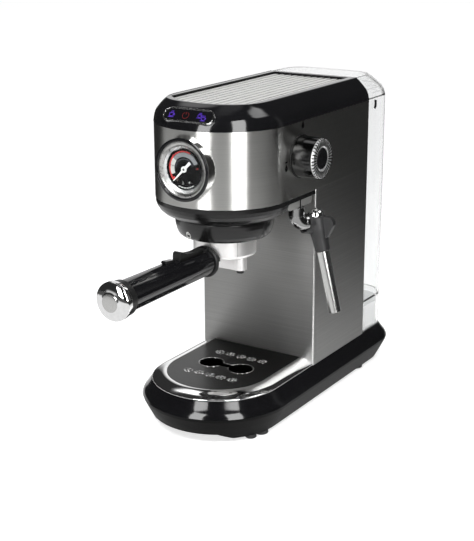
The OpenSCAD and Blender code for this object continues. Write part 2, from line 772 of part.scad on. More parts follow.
// chromed knob body, hollow behind, with a pointer groove
knob_front_r = knob_r - 0.9;
module steam_knob() {
  color("#cccccc") knob_frame() difference() {
    rotate_extrude() polygon([[spindle_r + run_gap, 6], [knob_r - 3, 6],
      [knob_r - 2.4, knob_plate_t + pass_gap],
      [knob_r, knob_plate_t + pass_gap], [knob_r, 4.5], [knob_front_r, knob_d - 2.4],
      [spindle_r + run_gap, knob_d - 2.4]]);
    translate([0, 0, knob_d - 9]) cylinder(r = spindle_r + 1.5, h = 9);
  }
}

// serrated ring round the knob's face
bezel_in_r = knob_r * 0.51;
module knob_bezel() {
  color("#e0e0e0") knob_frame() difference() {
    rotate_extrude() polygon([[bezel_in_r, knob_d - 2.3], [knob_front_r, knob_d - 2.3],
      [knob_front_r, knob_d - 0.8], [knob_front_r - 1, knob_d], [bezel_in_r + 1.6, knob_d - 0.3],
      [bezel_in_r, knob_d - 0.9]]);
    for (i = [0 : knob_teeth - 1]) rotate([0, 0, i * 360 / knob_teeth]) {
      translate([knob_front_r - 2.2, -0.7, knob_d - 0.9]) cube([4, 1.4, 3]);
      translate([bezel_in_r - 1, -0.3, knob_d - 0.8]) cube([knob_front_r - bezel_in_r, 0.6, 3]);
    }
  }
}

// black centre of the knob
module knob_insert() {
  color("#0c0c0c") knob_frame() rotate_extrude() polygon([[0, knob_d - 2.3],
    [bezel_in_r - seat_gap, knob_d - 2.3],
    [bezel_in_r - seat_gap, knob_d - 0.5], [bezel_in_r - 0.8, knob_d - 0.2], [0, knob_d - 0.5]]);
}

// steel spindle that the knob turns in the valve
module valve_spindle() {
  color("#9c9c9c") knob_frame() translate([0, 0, -spindle_l + 7])
    cylinder(r = spindle_r, h = spindle_l + knob_d - 12.2);
}

// ---------------------------------------------------------------- boiler and brew group

boiler_r = 33;
boiler_h = 40;
flange_z = chin_z + 1.2;
flange_t = 3.4;
bolt_circle_r = 36.4;
bolt_angles = [20, 160, 200, 340];
screen_r = 23.4;
rim_z = collar_z + 12;

// cast aluminium thermoblock with cooling ribs, flange and the group's neck
module boiler() {
  color("#b9b9b5") translate([0, group_y, 0]) difference() {
    union() {
      rotate_extrude() polygon([[0, rim_z + 4.6], [screen_r - 1, rim_z + 4.6], [screen_r - 1, flange_z],
        [boiler_flange_r, flange_z], [boiler_flange_r, flange_z + flange_t],
          [boiler_neck_r - 1, flange_z + flange_t],
        [boiler_neck_r - 1, deck_z + deck_t + seat_gap], [boiler_flange_r - 1, deck_z + deck_t + seat_gap],
        [boiler_flange_r - 1, deck_z + deck_t + 4], [boiler_r - 4, deck_z + deck_t + 4],
        [boiler_r - 4, deck_z + boiler_h], [0, deck_z + boiler_h]]);
      for (i = [0 : 3]) translate([0, 0, deck_z + 12 + 7 * i]) cylinder(r = boiler_r, h = 3);
      translate([0, 14, deck_z + boiler_h - eps]) cylinder(r = 5, h = 6);
    }
    translate([0, 0, rim_z + 4]) cylinder(r = 2, h = 10);
    for (a = bolt_angles) rotate([0, 0, a]) translate([bolt_circle_r, 0, flange_z - 1])
      cylinder(r = 2.1, h = flange_t + 2);
  }
}

// four bolts from the bayonet ring through the boiler's flange
module boiler_bolts() {
  color("#8f8f8f") for (a = bolt_angles) translate([0, group_y, 0]) rotate([0, 0, a])
    translate([bolt_circle_r, 0, 0]) {
      translate([0, 0, flange_z - 8]) cylinder(r = 2, h = flange_t + 12);
      translate([0, 0, flange_z + flange_t + seat_gap]) cylinder(r = 3.6, h = 3, $fn = 6);
    }
}

// cast ring with the two bayonet slots that the portafilter's ears ride in
ear_t = 4;
ear_out = 3.4;
ear_z = rim_z - 5.5;
ear_half = 13;
ring_out_r = collar_r - 8.7;
module bayonet_ring() {
  color("#a9a9a5") translate([0, group_y, 0]) difference() {
    rotate_extrude() polygon([[cup_r + pass_gap, collar_z + 2.2], [ring_out_r, collar_z + 3.2],
      [ring_out_r, flange_z - seat_gap], [gasket_out_r + seat_gap, flange_z - seat_gap],
      [gasket_out_r + seat_gap, rim_z + 1.6], [cup_r + pass_gap, rim_z + 1.6]]);
    translate([0, 0, ear_z - 0.35]) cylinder(r = cup_r + ear_out + pass_gap, h = ear_t + 0.7);
    for (a = [0, 180]) rotate([0, 0, a + unlock_angle - ear_half - 3])
      rotate_extrude(angle = 2 * ear_half + 6)
        translate([cup_r - 1, collar_z]) square([ear_out + 1 + pass_gap, ear_z - collar_z + 1]);
    for (a = bolt_angles) rotate([0, 0, a]) translate([bolt_circle_r, 0, flange_z - 9])
      cylinder(r = 2.08, h = 12);
  }
}
unlock_angle = -45;

// rubber ring that the portafilter's rim seals against
gasket_out_r = cup_r - 0.4;
module group_gasket() {
  color("#2c2c2c") translate([0, group_y, 0]) rotate_extrude()
    polygon([[screen_r + 0.4, rim_z + 0.3], [gasket_out_r - 0.6, rim_z + 0.3], [gasket_out_r, rim_z + 1],
      [gasket_out_r, flange_z - seat_gap], [screen_r + 0.4, flange_z - seat_gap]]);
}

// perforated steel disc that spreads the water
module shower_screen() {
  color("#c2c2c2") translate([0, group_y, rim_z - 1]) difference() {
    union() {
      cylinder(r = screen_r, h = 1);
      difference() {
        cylinder(r = screen_r, h = 5.6);
        translate([0, 0, -1]) cylinder(r = screen_r - 0.9, h = 8);
      }
    }
    for (k = [1 : 4], i = [0 : 6 * k - 1]) rotate([0, 0, i * 60 / k])
      translate([4.9 * k, 0, -1]) cylinder(r = 0.7, h = 3, $fn = 16);
  }
  color("#c2c2c2") translate([0, group_y, rim_z - 2]) cylinder(r = 3, h = 6.5);
}

// ---------------------------------------------------------------- pump, board and hoses

// vibratory pump: coil housing between steel plates, plastic inlet, brass outlet
module pump() {
  z0 = pump_zs[0] - 2;
  color("#55585a") translate([0, pump_y, z0]) difference() {
    union() {
      cylinder(r = pump_r, h = pump_l);
      translate([0, 0, 14]) cylinder(r = pump_r + 2.5, h = 3);
      translate([-pump_r - 2, -pump_r - 2, 18]) cube([2 * pump_r + 4, 2 * pump_r + 4, 44]);
      translate([0, 0, -8]) cylinder(r = 5, h = 9);
      translate([0, 0, pump_l - eps]) cylinder(r = 6, h = 10);
    }
    translate([0, 0, -9]) cylinder(r = hose_r + run_gap, h = 8);
    translate([0, 0, pump_l + 4]) cylinder(r = hose_r + run_gap, h = 8);
  }
}

// rubber rings that hold the pump in its shelves
module pump_mounts() {
  color("#30302e") for (z = pump_zs) translate([0, pump_y, z]) rotate_extrude()
    polygon([[pump_r + 0.2, -3], [pump_hole_r + 3, -3], [pump_hole_r + 3, -0.1],
      [pump_hole_r - 0.2, -0.1], [pump_hole_r - 0.2, 3.1], [pump_hole_r + 3, 3.1],
      [pump_hole_r + 3, 6], [pump_r + 0.2, 6]]);
}

// circuit board that stands behind the touch panel, with its transformer and connectors
board_w = 22;
board_h = 50;
board_x = -board_w - 26;
board_y = column_front + 6;
module control_board() {
  part_x = board_x + 2;
  part_y = board_y + 1.5;
  foot_z = deck_z + deck_t;
  transformer = [board_w - 4, 14, 18];
  connector = [5, 8, 7];
  color("#2e6b3a") translate([board_x, board_y, foot_z]) cube([board_w, 1.6, board_h]);
  color("#222222") {
    translate([part_x, part_y, foot_z + board_h - transformer[2] - 8]) cube(transformer);
    for (i = [0 : 2]) translate([part_x + 6.5 * i, part_y, foot_z + 6]) cube(connector);
  }
}

// silicone hose from the tank dock to the pump's inlet
module inlet_hose() {
  z0 = pump_zs[0] - 9.5;
  color("#d9d6cc") pipe_run([[0, dock_valve_y - 8, dock_port_z], [0, pump_y, dock_port_z],
    [0, pump_y, z0]], hose_r);
}

// pressure hose from the pump's outlet to the boiler
hose_rise = 14;
module pressure_hose() {
  z0 = pump_zs[0] - 2 + pump_l + 5;
  z1 = deck_z + boiler_h + hose_rise;
  color("#d9d6cc") pipe_run([[0, pump_y, z0], [0, pump_y, z1], [0, group_y + 14, z1],
    [0, group_y + 14, deck_z + boiler_h + 6.1]], hose_r);
}

// ---------------------------------------------------------------- steam elbow and wand

elbow_x = half_w - 5.5;
elbow_y = column_front - 27;
wand_y = column_front - 8.3;
pivot_x = half_w + 5.9;
pivot_z = chin_z - 9.5;
elbow_dir = [pivot_x - elbow_x, wand_y - elbow_y, 0];
elbow_yaw = atan2(elbow_dir[1], elbow_dir[0]);
elbow_reach = norm(elbow_dir);
bend_r = elbow_r + 0.6;
pin_r = 2.4;
spigot_r = 4;

// chromed pipe down from the head, round a bend, to the pin that the wand turns on
module steam_elbow() {
  color("#d5d5d5") translate([elbow_x, elbow_y, 0]) {
    translate([0, 0, pivot_z + bend_r - 0.5]) cylinder(r = elbow_r, h = bracket_z + 0.2 - pivot_z - bend_r);
    translate([0, 0, bracket_z - 2]) cylinder(r = spigot_r, h = deck_z + deck_t + 7 - bracket_z);
    rotate([0, 0, elbow_yaw]) {
      translate([bend_r, 0, pivot_z + bend_r]) rotate([90, 0, 0]) rotate([0, 0, 180])
        rotate_extrude(angle = 90) translate([bend_r, 0]) circle(elbow_r - 0.2);
      translate([bend_r - 0.5, 0, pivot_z]) rotate([0, 90, 0]) cylinder(r = elbow_r, h = 2.9);
      translate([bend_r + 1, 0, pivot_z]) rotate([0, 90, 0])
        cylinder(r = pin_r, h = elbow_reach - bend_r + 2);
    }
  }
}

// carries children to the wand: their Z runs up the wand from the pivot
module wand_frame() {
  translate([pivot_x, wand_y, pivot_z]) rotate([0, -wand_lean, 0]) children();
}
grip_up = 3.9;
grip_down = 29.6;
grip_top_r = 9.3;
grip_end_r = 7.1;
nut_r = 8.6;

// black rubber grip with the boot over the elbow's pin and the thumb tab
module wand_grip() {
  color("#242424") difference() {
    union() {
      wand_frame() rotate_extrude() polygon([[0, -grip_down], [grip_end_r - 0.6, -grip_down],
        [grip_end_r, -grip_down + 0.8], [grip_end_r + 0.7, -18], [grip_top_r - 0.2, -8], [grip_top_r, -2],
        [grip_top_r, grip_up - 0.8], [grip_top_r - 0.8, grip_up], [0, grip_up]]);
      translate([elbow_x, elbow_y, 0]) rotate([0, 0, elbow_yaw]) translate([bend_r - 2.4, 0, pivot_z - 5.4])
        rotate([0, 90, 0]) cylinder(r1 = 5, r2 = 8, h = elbow_reach - bend_r + 1.4);
      translate([elbow_x, elbow_y, pivot_z]) rotate([0, 0, elbow_yaw]) translate([bend_r + 3, 0, 0])
        rotate([0, 90, 0]) cylinder(r = 8, h = elbow_reach - bend_r - 2);
      thumb_tab();
    }
    translate([elbow_x, elbow_y, 0]) {
      rotate([0, 0, elbow_yaw]) translate([bend_r - 1, 0, pivot_z]) rotate([0, 90, 0])
        cylinder(r = pin_r + run_gap, h = elbow_reach - bend_r + 4.4);
      rotate([0, 0, elbow_yaw]) translate([bend_r - eps, 0, pivot_z]) rotate([0, 90, 0])
        cylinder(r = elbow_r + pass_gap, h = 2.4 + pass_gap);
      rotate([0, 0, elbow_yaw]) translate([bend_r, 0, pivot_z + bend_r]) rotate([90, 0, 0])
        rotate([0, 0, 180])
        rotate_extrude(angle = 90) translate([bend_r - elbow_r - pass_gap, -elbow_r - pass_gap])
          square(2 * (elbow_r + pass_gap));
    }
    wand_frame() translate([0, 0, -grip_down - 1]) cylinder(r = sleeve_r - 0.8 + seat_gap, h = 16);
    wand_frame() translate([0, 0, grip_up]) cylinder(r = nut_r + 0.8, h = 14);
  }
}
module thumb_tab() {
  wand_frame() rotate([90, 0, 0]) translate([0, 0, -3]) linear_extrude(6) {
    translate([grip_top_r + 2.6, -3.6]) circle(6.2, $fn = small_fn);
    polygon([[grip_top_r - 3, 3.4], [grip_top_r + 3, 2.6], [grip_top_r + 7, -8], [grip_top_r + 1, -15.4],
      [grip_end_r - 2, -19]]);
  }
}

// chromed dome nut on top of the grip
module wand_nut() {
  color("#dcdcdc") wand_frame() translate([0, 0, grip_up + seat_gap]) rotate_extrude()
    polygon(concat([[0, 0], [nut_r - 0.2, 0], [nut_r, 1.4]],
      [for (i = [1 : 8]) let (a = i * 90 / 8) [nut_r * cos(a), 1.4 + (nut_r - 1.4) * sin(a)]]));
}

// brushed steel frothing sleeve
module wand_sleeve() {
  color("#b8b8b8") wand_frame() difference() {
    union() {
      translate([0, 0, -grip_down - sleeve_l]) cylinder(r = sleeve_r, h = sleeve_l - seat_gap);
      translate([0, 0, -grip_down - 1]) cylinder(r = sleeve_r - 0.8, h = 14);
    }
    translate([0, 0, -grip_down - sleeve_l - 1]) cylinder(r = sleeve_r - 1.2, h = 15);
    translate([0, 0, -grip_down - sleeve_l]) cylinder(r = 2, h = sleeve_l + 20);
  }
}

// inner steam pipe, whose nozzle sits inside the sleeve's mouth
module wand_tip() {
  color("#8e8e8e") wand_frame() difference() {
    union() {
      translate([0, 0, -grip_down - sleeve_l + 3]) cylinder(r1 = 2.4, r2 = 3.4, h = 3);
      translate([0, 0, -grip_down - sleeve_l + 6]) cylinder(r = 3.4, h = 7.9);
    }
    translate([0, 0, -grip_down - sleeve_l]) cylinder(r = 0.8, h = 20, $fn = 16);
  }
}

// ---------------------------------------------------------------- portafilter

cup_floor_z = rim_z - cup_h;
handle_z = cup_floor_z - 0.3;
tang_r = 3;
tang_z = handle_z + 4.6;
tang_l = 46;
flange_y = group_y - cup_r - 2.4;
cowl_r = 12.6;
basket_r = 25.6;
basket_t = 0.5;

// cast cup with its two ears, chamfered foot and the neck that the handle screws to
module portafilter_body() {
  color("#d4d2cc") difference() {
    union() {
      translate([0, group_y, 0]) rotate_extrude() polygon([[0, cup_floor_z], [cup_r - 3.4, cup_floor_z],
        [cup_r - 1, cup_floor_z + 1], [cup_r, cup_floor_z + 3.2], [cup_r, rim_z], [0, rim_z]]);
      translate([0, group_y, ear_z]) intersection() {
        cylinder(r = cup_r + ear_out, h = ear_t);
        for (a = [0, 180]) rotate([0, 0, a]) linear_extrude(ear_t)
          polygon([[0, 0], [60, -60 * tan(ear_half)], [60, 60 * tan(ear_half)]]);
      }
      translate([0, group_y - cup_r + 1, tang_z]) rotate([90, 0, 0]) cylinder(r = tang_r, h = tang_l);
      translate([0, group_y, bar_top]) cylinder(r = 8, h = cup_floor_z + 1 - bar_top);
    }
    translate([0, group_y, cup_floor_z + 3]) cylinder(r = cup_r - cup_wall, h = cup_h);
    translate([0, group_y, cup_floor_z - 4]) cylinder(r = 4, h = 10);
  }
}

// pressed steel basket with its rolled rim and a pattern of fine holes
module filter_basket() {
  color("#c9c9c6") translate([0, group_y, 0]) difference() {
    rotate_extrude() polygon([[0, rim_z - basket_h], [basket_r - 1.6, rim_z - basket_h],
      [basket_r - 0.4, rim_z - basket_h + 1.4], [basket_r, rim_z - basket_h + 4], [basket_r, rim_z + 0.05],
      [cup_r - 1, rim_z + 0.05], [cup_r - 1, rim_z + 0.25], [basket_r - basket_t, rim_z + 0.25],
      [basket_r - basket_t, rim_z - basket_h + 4], [basket_r - 2, rim_z - basket_h + basket_t],
      [0, rim_z - basket_h + basket_t]]);
    for (k = [1 : 5], i = [0 : 6 * k - 1]) rotate([0, 0, i * 60 / k])
      translate([4.1 * k, 0, rim_z - basket_h - 1]) cylinder(r = 0.6, h = 3, $fn = 16);
  }
}

// twin coffee spout: a bar with round ends under the cup
spout_r = 6.2;
bar_top = cup_floor_z - 2.1;
spout_z = cup_floor_z - 14.2;
module twin_spout() {
  color("#d4d2cc") difference() {
    translate([0, 0, spout_z]) linear_extrude(bar_top - spout_z) {
      for (s = [-1, 1]) translate([s * spout_x, group_y]) circle(spout_r);
      translate([-spout_x, group_y - spout_r + 0.5]) square([2 * spout_x, 2 * spout_r - 1]);
    }
    for (s = [-1, 1]) translate([s * spout_x, group_y, spout_z - 1]) cylinder(r = 3.1, h = 7.8);
    translate([-spout_x, group_y, spout_z + 6.2]) rotate([0, 90, 0])
      cylinder(r = 1.8, h = 2 * spout_x, $fn = small_fn);
    translate([0, group_y, spout_z + 6]) cylinder(r = 3, h = bar_top - spout_z);
    translate([-12, group_y - 3.2, spout_z - 1]) cube([24, 6.4, 3]);
  }
}

// dark nozzles pushed into the spouts
module spout_nozzles() {
  color("#333333") for (s = [-1, 1]) translate([s * spout_x, group_y, 0]) rotate_extrude()
    polygon([[2, spout_z - 3.4], [3.4, spout_z - 3.4], [3.9, spout_z - 1.4], [3.9, spout_z - seat_gap],
      [3.1 - seat_gap, spout_z - seat_gap], [3.1 - seat_gap, spout_z + 5], [2, spout_z + 5]]);
}

// carries children to the handle: their Z runs forwards from the flange
module handle_frame() {
  translate([0, flange_y, handle_z]) rotate([90, 0, 0]) children();
}

// black flange and cowl between the cup and the handle, with the ears that carry the filter clip
disc_t = 4;
disc_r = 15;
module handle_flange() {
  color("#151515") difference() {
    union() {
      handle_frame() {
        rotate_extrude() polygon([[0, 0], [disc_r - 1, 0], [disc_r, 1], [disc_r, disc_t - 1],
          [disc_r - 1, disc_t], [0, disc_t]]);
        for (s = [-1, 1]) translate([s * (clip_w / 2 + 1.2) - 0.9, pocket_z - handle_z + 0.1, disc_t - eps])
          cube([1.8, clip_pin_z + 2 - pocket_z, 8.6]);
      }
      intersection() {
        translate([0, group_y - cup_r + 12, handle_z]) rotate([90, 0, 0])
          cylinder(r = cowl_r, h = 12 + 2.5);
        translate([-cowl_r, flange_y - 1, cup_floor_z + 0.2]) cube([2 * cowl_r, 20, cowl_r]);
      }
    }
    translate([0, group_y, 0]) cylinder(r = cup_r + seat_gap, h = 400);
    translate([0, group_y, tang_z]) rotate([90, 0, 0]) cylinder(r = tang_r + run_gap, h = 60);
    translate([-20, clip_pin_y, clip_pin_z]) rotate([0, 90, 0]) cylinder(r = clip_pin_r + run_gap, h = 40);
  }
}
clip_w = 8;
clip_pin_r = 1.3;
pocket_z = handle_z + barrel_r - 4.6;
clip_pin_y = flange_y - disc_t - 6;
clip_pin_z = pocket_z + 3;

// gloss black barrel, swelling towards its end, with a thumb stop and the clip's pocket
barrel_start = disc_t + 0.1;
fin_start = 46;
module handle_barrel() {
  z0 = barrel_start;
  color("#0b0b0b") difference() {
    handle_frame() {
      rotate_extrude() polygon([[0, z0], [barrel_r - 0.6, z0], [barrel_r, z0 + 0.8],
        [barrel_r + 0.1, z0 + barrel_l * 0.1],
          [barrel_r + (barrel_end_r - barrel_r) * 0.5, z0 + barrel_l * 0.5],
        [barrel_end_r, z0 + barrel_l * 0.95], [barrel_end_r, z0 + barrel_l], [0, z0 + barrel_l]]);
      translate([-2.6, barrel_r - 2, z0 + fin_start]) rotate([90, 0, 90]) linear_extrude(5.2)
        polygon([[0, 0], [4.2, 4], [5.8, 16.4], [4.2, 17.4], [0.4, 14]]);
    }
    handle_frame() translate([-6.2, pocket_z - handle_z, z0 - 1]) cube([12.4, 12, fin_start - 0.5]);
    translate([0, group_y, tang_z]) rotate([90, 0, 0])
      cylinder(r = tang_r + run_gap, h = cup_r + tang_l + 1);
  }
}

// dark ring and chromed, domed end cap
ring_start = barrel_start + barrel_l + 0.1;
ring_l = 9;
module handle_ring() {
  color("#1a1a1a") handle_frame() rotate_extrude() polygon([[0, ring_start], [end_cap_r - 2.2, ring_start],
    [end_cap_r - 1.4, ring_start + 0.8], [end_cap_r - 1, ring_start + ring_l], [0, ring_start + ring_l]]);
}
dome_h = 5.2;
module handle_cap() {
  z0 = ring_start + ring_l + 0.1;
  color("#e4e4e4") handle_frame() rotate_extrude() polygon(concat([[0, z0], [end_cap_r - 0.6, z0],
    [end_cap_r, z0 + 0.6], [end_cap_r, z0 + 4.2]],
    [for (i = [1 : 12]) let (a = i * 90 / 12)
      [end_cap_r * pow(cos(a), 0.8), z0 + 4.2 + (dome_h + 0.6) * sin(a)]]));
}

// thumb lever that holds the basket in while the grounds are knocked out
module filter_clip() {
  color("#1e1e1e") translate([0, clip_pin_y, clip_pin_z]) {
    rotate([0, 90, 0]) translate([0, 0, -clip_w / 2 - 2.1]) cylinder(r = clip_pin_r, h = clip_w + 4.2);
    rotate([90, 0, 90]) translate([0, 0, -clip_w / 2]) linear_extrude(clip_w)
      polygon([[3, -1.2], [3, 1.6], [1.6, 3], [-12, 3], [-26, 4.6], [-34, 8.6], [-36.2, 8.4], [-37.4, 6.8],
        [-38, -0.6], [-37.2, -1.6], [-12, -2.2], [1.4, -2.6]]);
  }
}

// ---------------------------------------------------------------- drip tray

band_top = base_top + band_rise;
ledge_w = 3.4;
drip_plate_t = 1.8;

// chromed band that slopes up from the base's edge to the drip plate
module drip_band() {
  z = base_top + 0.2;
  b = band_w;
  color("#dedede")
    tray_sweep([[-0.6, z], [-0.5, z + 0.9], [-b * 0.16, z + 2.1], [-b * 0.42, z + 4.1],
      [-b * 0.72, z + 5.6],
      [-b * 0.94, band_top], [-b, band_top - 0.1], [-b, band_top - drip_plate_t - 0.3],
      [-b - ledge_w, band_top - drip_plate_t - 0.3], [-b - ledge_w, band_top - drip_plate_t - 1.5],
      [-b * 0.72, band_top - 3.2], [-b * 0.5, z]]);
}

// black basin that hangs through the base's well
basin_in = band_w * 0.5;
module drip_basin() {
  z0 = base_top - basin_d;
  color("#1b1b1b") difference() {
    translate([0, 0, z0]) linear_extrude(basin_d + 0.1) tray_plan(-basin_in, tray_back - 1);
    translate([0, 0, z0 + wall]) linear_extrude(basin_d) tray_plan(-basin_in - wall, tray_back - 1 - wall);
  }
}

// drip plate with its two rows of hole rosettes and the double opening under the spouts
row_ahead = [31.5, 87.5];
rosette_pitch = 12.5;
module drip_plate() {
  color("#262626") translate([0, 0, band_top - drip_plate_t - 0.1]) difference() {
    linear_extrude(drip_plate_t) difference() {
      tray_plan(-band_w - lift_gap / 2, tray_back - 0.3);
      for (s = [-1, 1]) translate([s * spout_x, group_y]) circle(drain_r);
      translate([-spout_x, group_y - 3.4]) square([2 * spout_x, 6.8]);
    }
    for (row = row_ahead, i = [-2 : 2]) translate([i * rosette_pitch, column_front - row, -1]) {
      for (k = [0 : 6]) rotate([0, 0, k * 360 / 7]) translate([3.7, 0, 0]) cylinder(r = 1, h = 4, $fn = 16);
      cylinder(r = 1, h = 4, $fn = 16);
    }
  }
}

// ---------------------------------------------------------------- water tank

tank_top = cap_z;
valve_r = 5;

// clear tank with its floor, skirt, front flanges and the neck that enters the dock's seal
module water_tank() {
  color([0.85, 0.92, 0.95, 0.4]) difference() {
    translate([0, 0, base_top + lift_gap]) linear_extrude(tank_top - base_top - lift_gap) tank_plan(0);
    translate([0, 0, base_top + tank_floor_h + tank_wall]) linear_extrude(tank_top) tank_plan(tank_wall);
    translate([0, 0, base_top - 1]) linear_extrude(tank_floor_h + 1) tank_plan(tank_wall);
    translate([-8, tank_front - 1, base_top - 1]) cube([16, tank_wall + 2, dock_port_z - base_top + 8]);
    translate([0, dock_valve_y, base_top]) cylinder(r = valve_r + pass_gap, h = tank_floor_h + 20);
  }
  color([0.85, 0.92, 0.95, 0.4]) translate([0, dock_valve_y, 0]) rotate_extrude()
    polygon([[valve_r + pass_gap - 0.2, base_top + dock_h + 4.4],
      [valve_r + pass_gap + 1.6, base_top + dock_h + 4.4],
      [valve_r + pass_gap + 1.6, base_top + tank_floor_h + 12],
        [valve_r + pass_gap - 0.2, base_top + tank_floor_h + 12]]);
}

// spring-loaded valve in the tank's neck, held up by the dock's pin
module tank_valve() {
  z = base_top + tank_floor_h;
  color("#e8e8e8") translate([0, dock_valve_y, 0]) rotate_extrude()
    polygon([[0, z + 0.2], [valve_r - 1.4, z + 0.2], [valve_r, z + 1.6], [valve_r, z + 4], [2, z + 5],
      [2, z + 14], [0, z + 14]]);
}

// domed lid that carries the cap's slope round the tank's top
lid_z = tank_top + lift_gap;
function lid_ring(t, z, g) = let (
    lean = cap_lean * t + g,
    w = tank_half_w - lean,
    r = tank_corner_r - lean * 0.4,
    back = tank_back - lean,
    n = 14)
  concat([[-w, tank_front + g, z]],
    [for (i = [0 : n]) let (a = 180 - 90 * i / n) [-w + r + r * cos(a), back - r + r * sin(a), z]],
    [for (i = [0 : n]) let (a = 90 - 90 * i / n) [w - r + r * cos(a), back - r + r * sin(a), z]],
    [[w, tank_front + g, z]]);
module tank_lid() {
  color([0.9, 0.94, 0.96, 0.5]) {
    difference() {
      skin([for (s = cap_steps) reverse_ring(lid_ring(s[1], lid_z + lid_h * s[0], 0))]);
      skin([for (s = cap_steps) reverse_ring(lid_ring(s[1], lid_z + lid_h * s[0] - tank_wall, tank_wall))]);
    }
  }
}
function reverse_ring(ring) = [for (i = [len(ring) - 1 : -1 : 0]) ring[i]];

// small black hooks near the tank's top that hold the lid
hook_z = tank_top - 5.5;
module lid_hooks() {
  color("#202020") for (s = [-1, 1]) translate([s * (tank_half_w + 0.1), tank_front + 14, hook_z])
    rotate([0, s * 90, 0])
    linear_extrude(1.2) polygon([[-4, -1.6], [-3, 1.6], [3, 1.6], [5.4, -0.6], [4.4, -2.4], [1.4, -1]]);
}

// ---------------------------------------------------------------- the drawing

base_shell();
base_floor();
feet();
base_screws();
column_shell();
rear_panel();
tank_dock();
dock_seal();
head_deck();
head_band();
head_chin();
elbow_bracket();
group_collar();
top_cap();
cup_plate();
touch_panel();
touch_ring();
gauge_housing();
gauge_ring();
gauge_funnel();
gauge_dial();
gauge_lens();
gauge_needle();
knob_plate();
steam_valve();
steam_knob();
knob_bezel();
knob_insert();
valve_spindle();
boiler();
boiler_bolts();
bayonet_ring();
group_gasket();
shower_screen();
pump();
pump_mounts();
control_board();
inlet_hose();
pressure_hose();
steam_elbow();
wand_grip();
wand_nut();
wand_sleeve();
wand_tip();
portafilter_body();
filter_basket();
twin_spout();
spout_nozzles();
handle_flange();
handle_barrel();
handle_ring();
handle_cap();
filter_clip();
drip_basin();
drip_band();
drip_plate();
water_tank();
tank_lid();
tank_valve();
lid_hooks();
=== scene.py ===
"""Looks of a slim espresso machine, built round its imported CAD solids.

Drawn sizes are in millimetres and carried into the scene by MM. Lamps and room are in metres.
"""

import json
import math

import bmesh
import bpy
from mathutils import Matrix, Vector

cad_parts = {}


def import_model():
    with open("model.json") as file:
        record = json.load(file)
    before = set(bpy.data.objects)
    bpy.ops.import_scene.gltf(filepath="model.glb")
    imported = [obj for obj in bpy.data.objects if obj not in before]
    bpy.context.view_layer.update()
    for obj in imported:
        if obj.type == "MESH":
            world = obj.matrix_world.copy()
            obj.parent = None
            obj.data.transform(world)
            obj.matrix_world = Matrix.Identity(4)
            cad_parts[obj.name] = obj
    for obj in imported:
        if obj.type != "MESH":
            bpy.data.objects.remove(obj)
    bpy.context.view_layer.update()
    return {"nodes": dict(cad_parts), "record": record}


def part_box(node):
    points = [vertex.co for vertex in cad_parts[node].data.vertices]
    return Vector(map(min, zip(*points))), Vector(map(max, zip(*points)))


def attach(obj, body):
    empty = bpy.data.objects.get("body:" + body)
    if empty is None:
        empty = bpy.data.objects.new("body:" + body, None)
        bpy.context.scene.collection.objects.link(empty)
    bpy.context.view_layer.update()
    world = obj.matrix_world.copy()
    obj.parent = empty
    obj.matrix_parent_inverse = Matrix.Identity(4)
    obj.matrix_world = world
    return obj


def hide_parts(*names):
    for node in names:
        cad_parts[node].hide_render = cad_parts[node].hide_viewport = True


MM = 0.001

# camera, fitted to the photograph's straight and round edges
CAMERA_AT = (0.60387, -1.00303, 0.48975)
CAMERA_YAW = 32.47
CAMERA_PITCH = 72.74
CAMERA_ROLL = -0.214
CAMERA_LENS = 80.655

# studio: lamps aimed at the head, each (azimuth, elevation, width, height, radiance)
AIM = Vector((0, -0.10, 0.20))
LAMP_DISTANCE = 1.1
KEY_BOX = (-6.5, 50, 0.42, 0.42, 12)
SIDE_BOX = (55, 50, 0.42, 0.42, 12)
KEY_STRIP = (0, 21, 0.38, 0.86, 10)
SIDE_STRIP = (57, 21, 0.42, 0.86, 10)
AMBIENT = 0.35
FLOOR_RADIUS = 9
FLOOR_GREY = 0.8
FLOOR_GLOW = 0.72

# what the polished parts mirror beyond the table: patches of a dark room, each
# (azimuth, half its width, lowest and highest elevation, level)
DOME_RADIUS = 5
ROOM_GREY = 0.03
ROOM_PATCHES = (
    (205, 22, -5, 38, 1.0),
    (-30, 12, -5, 5, 0.8),
    (122, 20, 46, 62, 4.0),
    (-115, 16, 50, 70, 1.6),
    (0, 180, 76, 100, 0.35),
    (136, 4, -5, 30, 0.2),
)
PATCH_BLUR = 4

# and the white table: how far it stays white in front, and nearer on its dark sides, each
# (azimuth, half its width, blur, how far it stays white)
TABLE_START = 0.2
TABLE_FRONT = 1.0
TABLE_FADE = 0.25
TABLE_FAR = 0.1
DARK_SIDES = ((125, 62, 30, 0.26), (-113, 32, 12, 0.42))

# gauge dial, from the gauge's axis: (inner radius, outer radius, first and last angle), with
# angles anticlockwise from the right
GAUGE_Z = 256.85
GAUGE_FRONT = -145.4
PRINT_DEPTH = 5.36
PRINT_T = 0.05
RED_RING = (15.0, 16.5, 66, 222)
WHITE_BAND = (10.8, 15.0, 141, 203)
GREY_BAND = (11.2, 15.6, 24, 140)
INNER_RING = (9.0, 9.6, 20, 172)
LOW_SCALE = (16.4, 17.3, 247, 306)
LOW_BLOCK = 8.4
LOW_PITCH = 10
TICK = (10.9, 14.9, 168.9, 171.1)
RED_MARKS = ((12.8, 15.0, 6, 9, 3), (13.2, 15.0, 214, 222, 4))
NUMBERS = (("0", 233, "tan"), ("2", 262, "white"), ("4", 294, "white"))
NUMBER_R = 12.8
NUMBER_H = 2.6
NUMBER_FIT = 1.38
NUMBER_T = 0.02
NUMBER_LIFT = 0.03
# the needle's eye: a black disc of painted shade for the hole in its hub
NEEDLE_EYE_R = 1.15
NEEDLE_EYE_T = 0.04

# touch panel: its frame on the cap's slope
PANEL_Y = -132.585
PANEL_Z = 303.54
PANEL_TILT = 49
ICON_SHIFT = -2.9
ICON_LIFT = 0.31
ICON_T = 0.04
CUP_LINE = 0.6
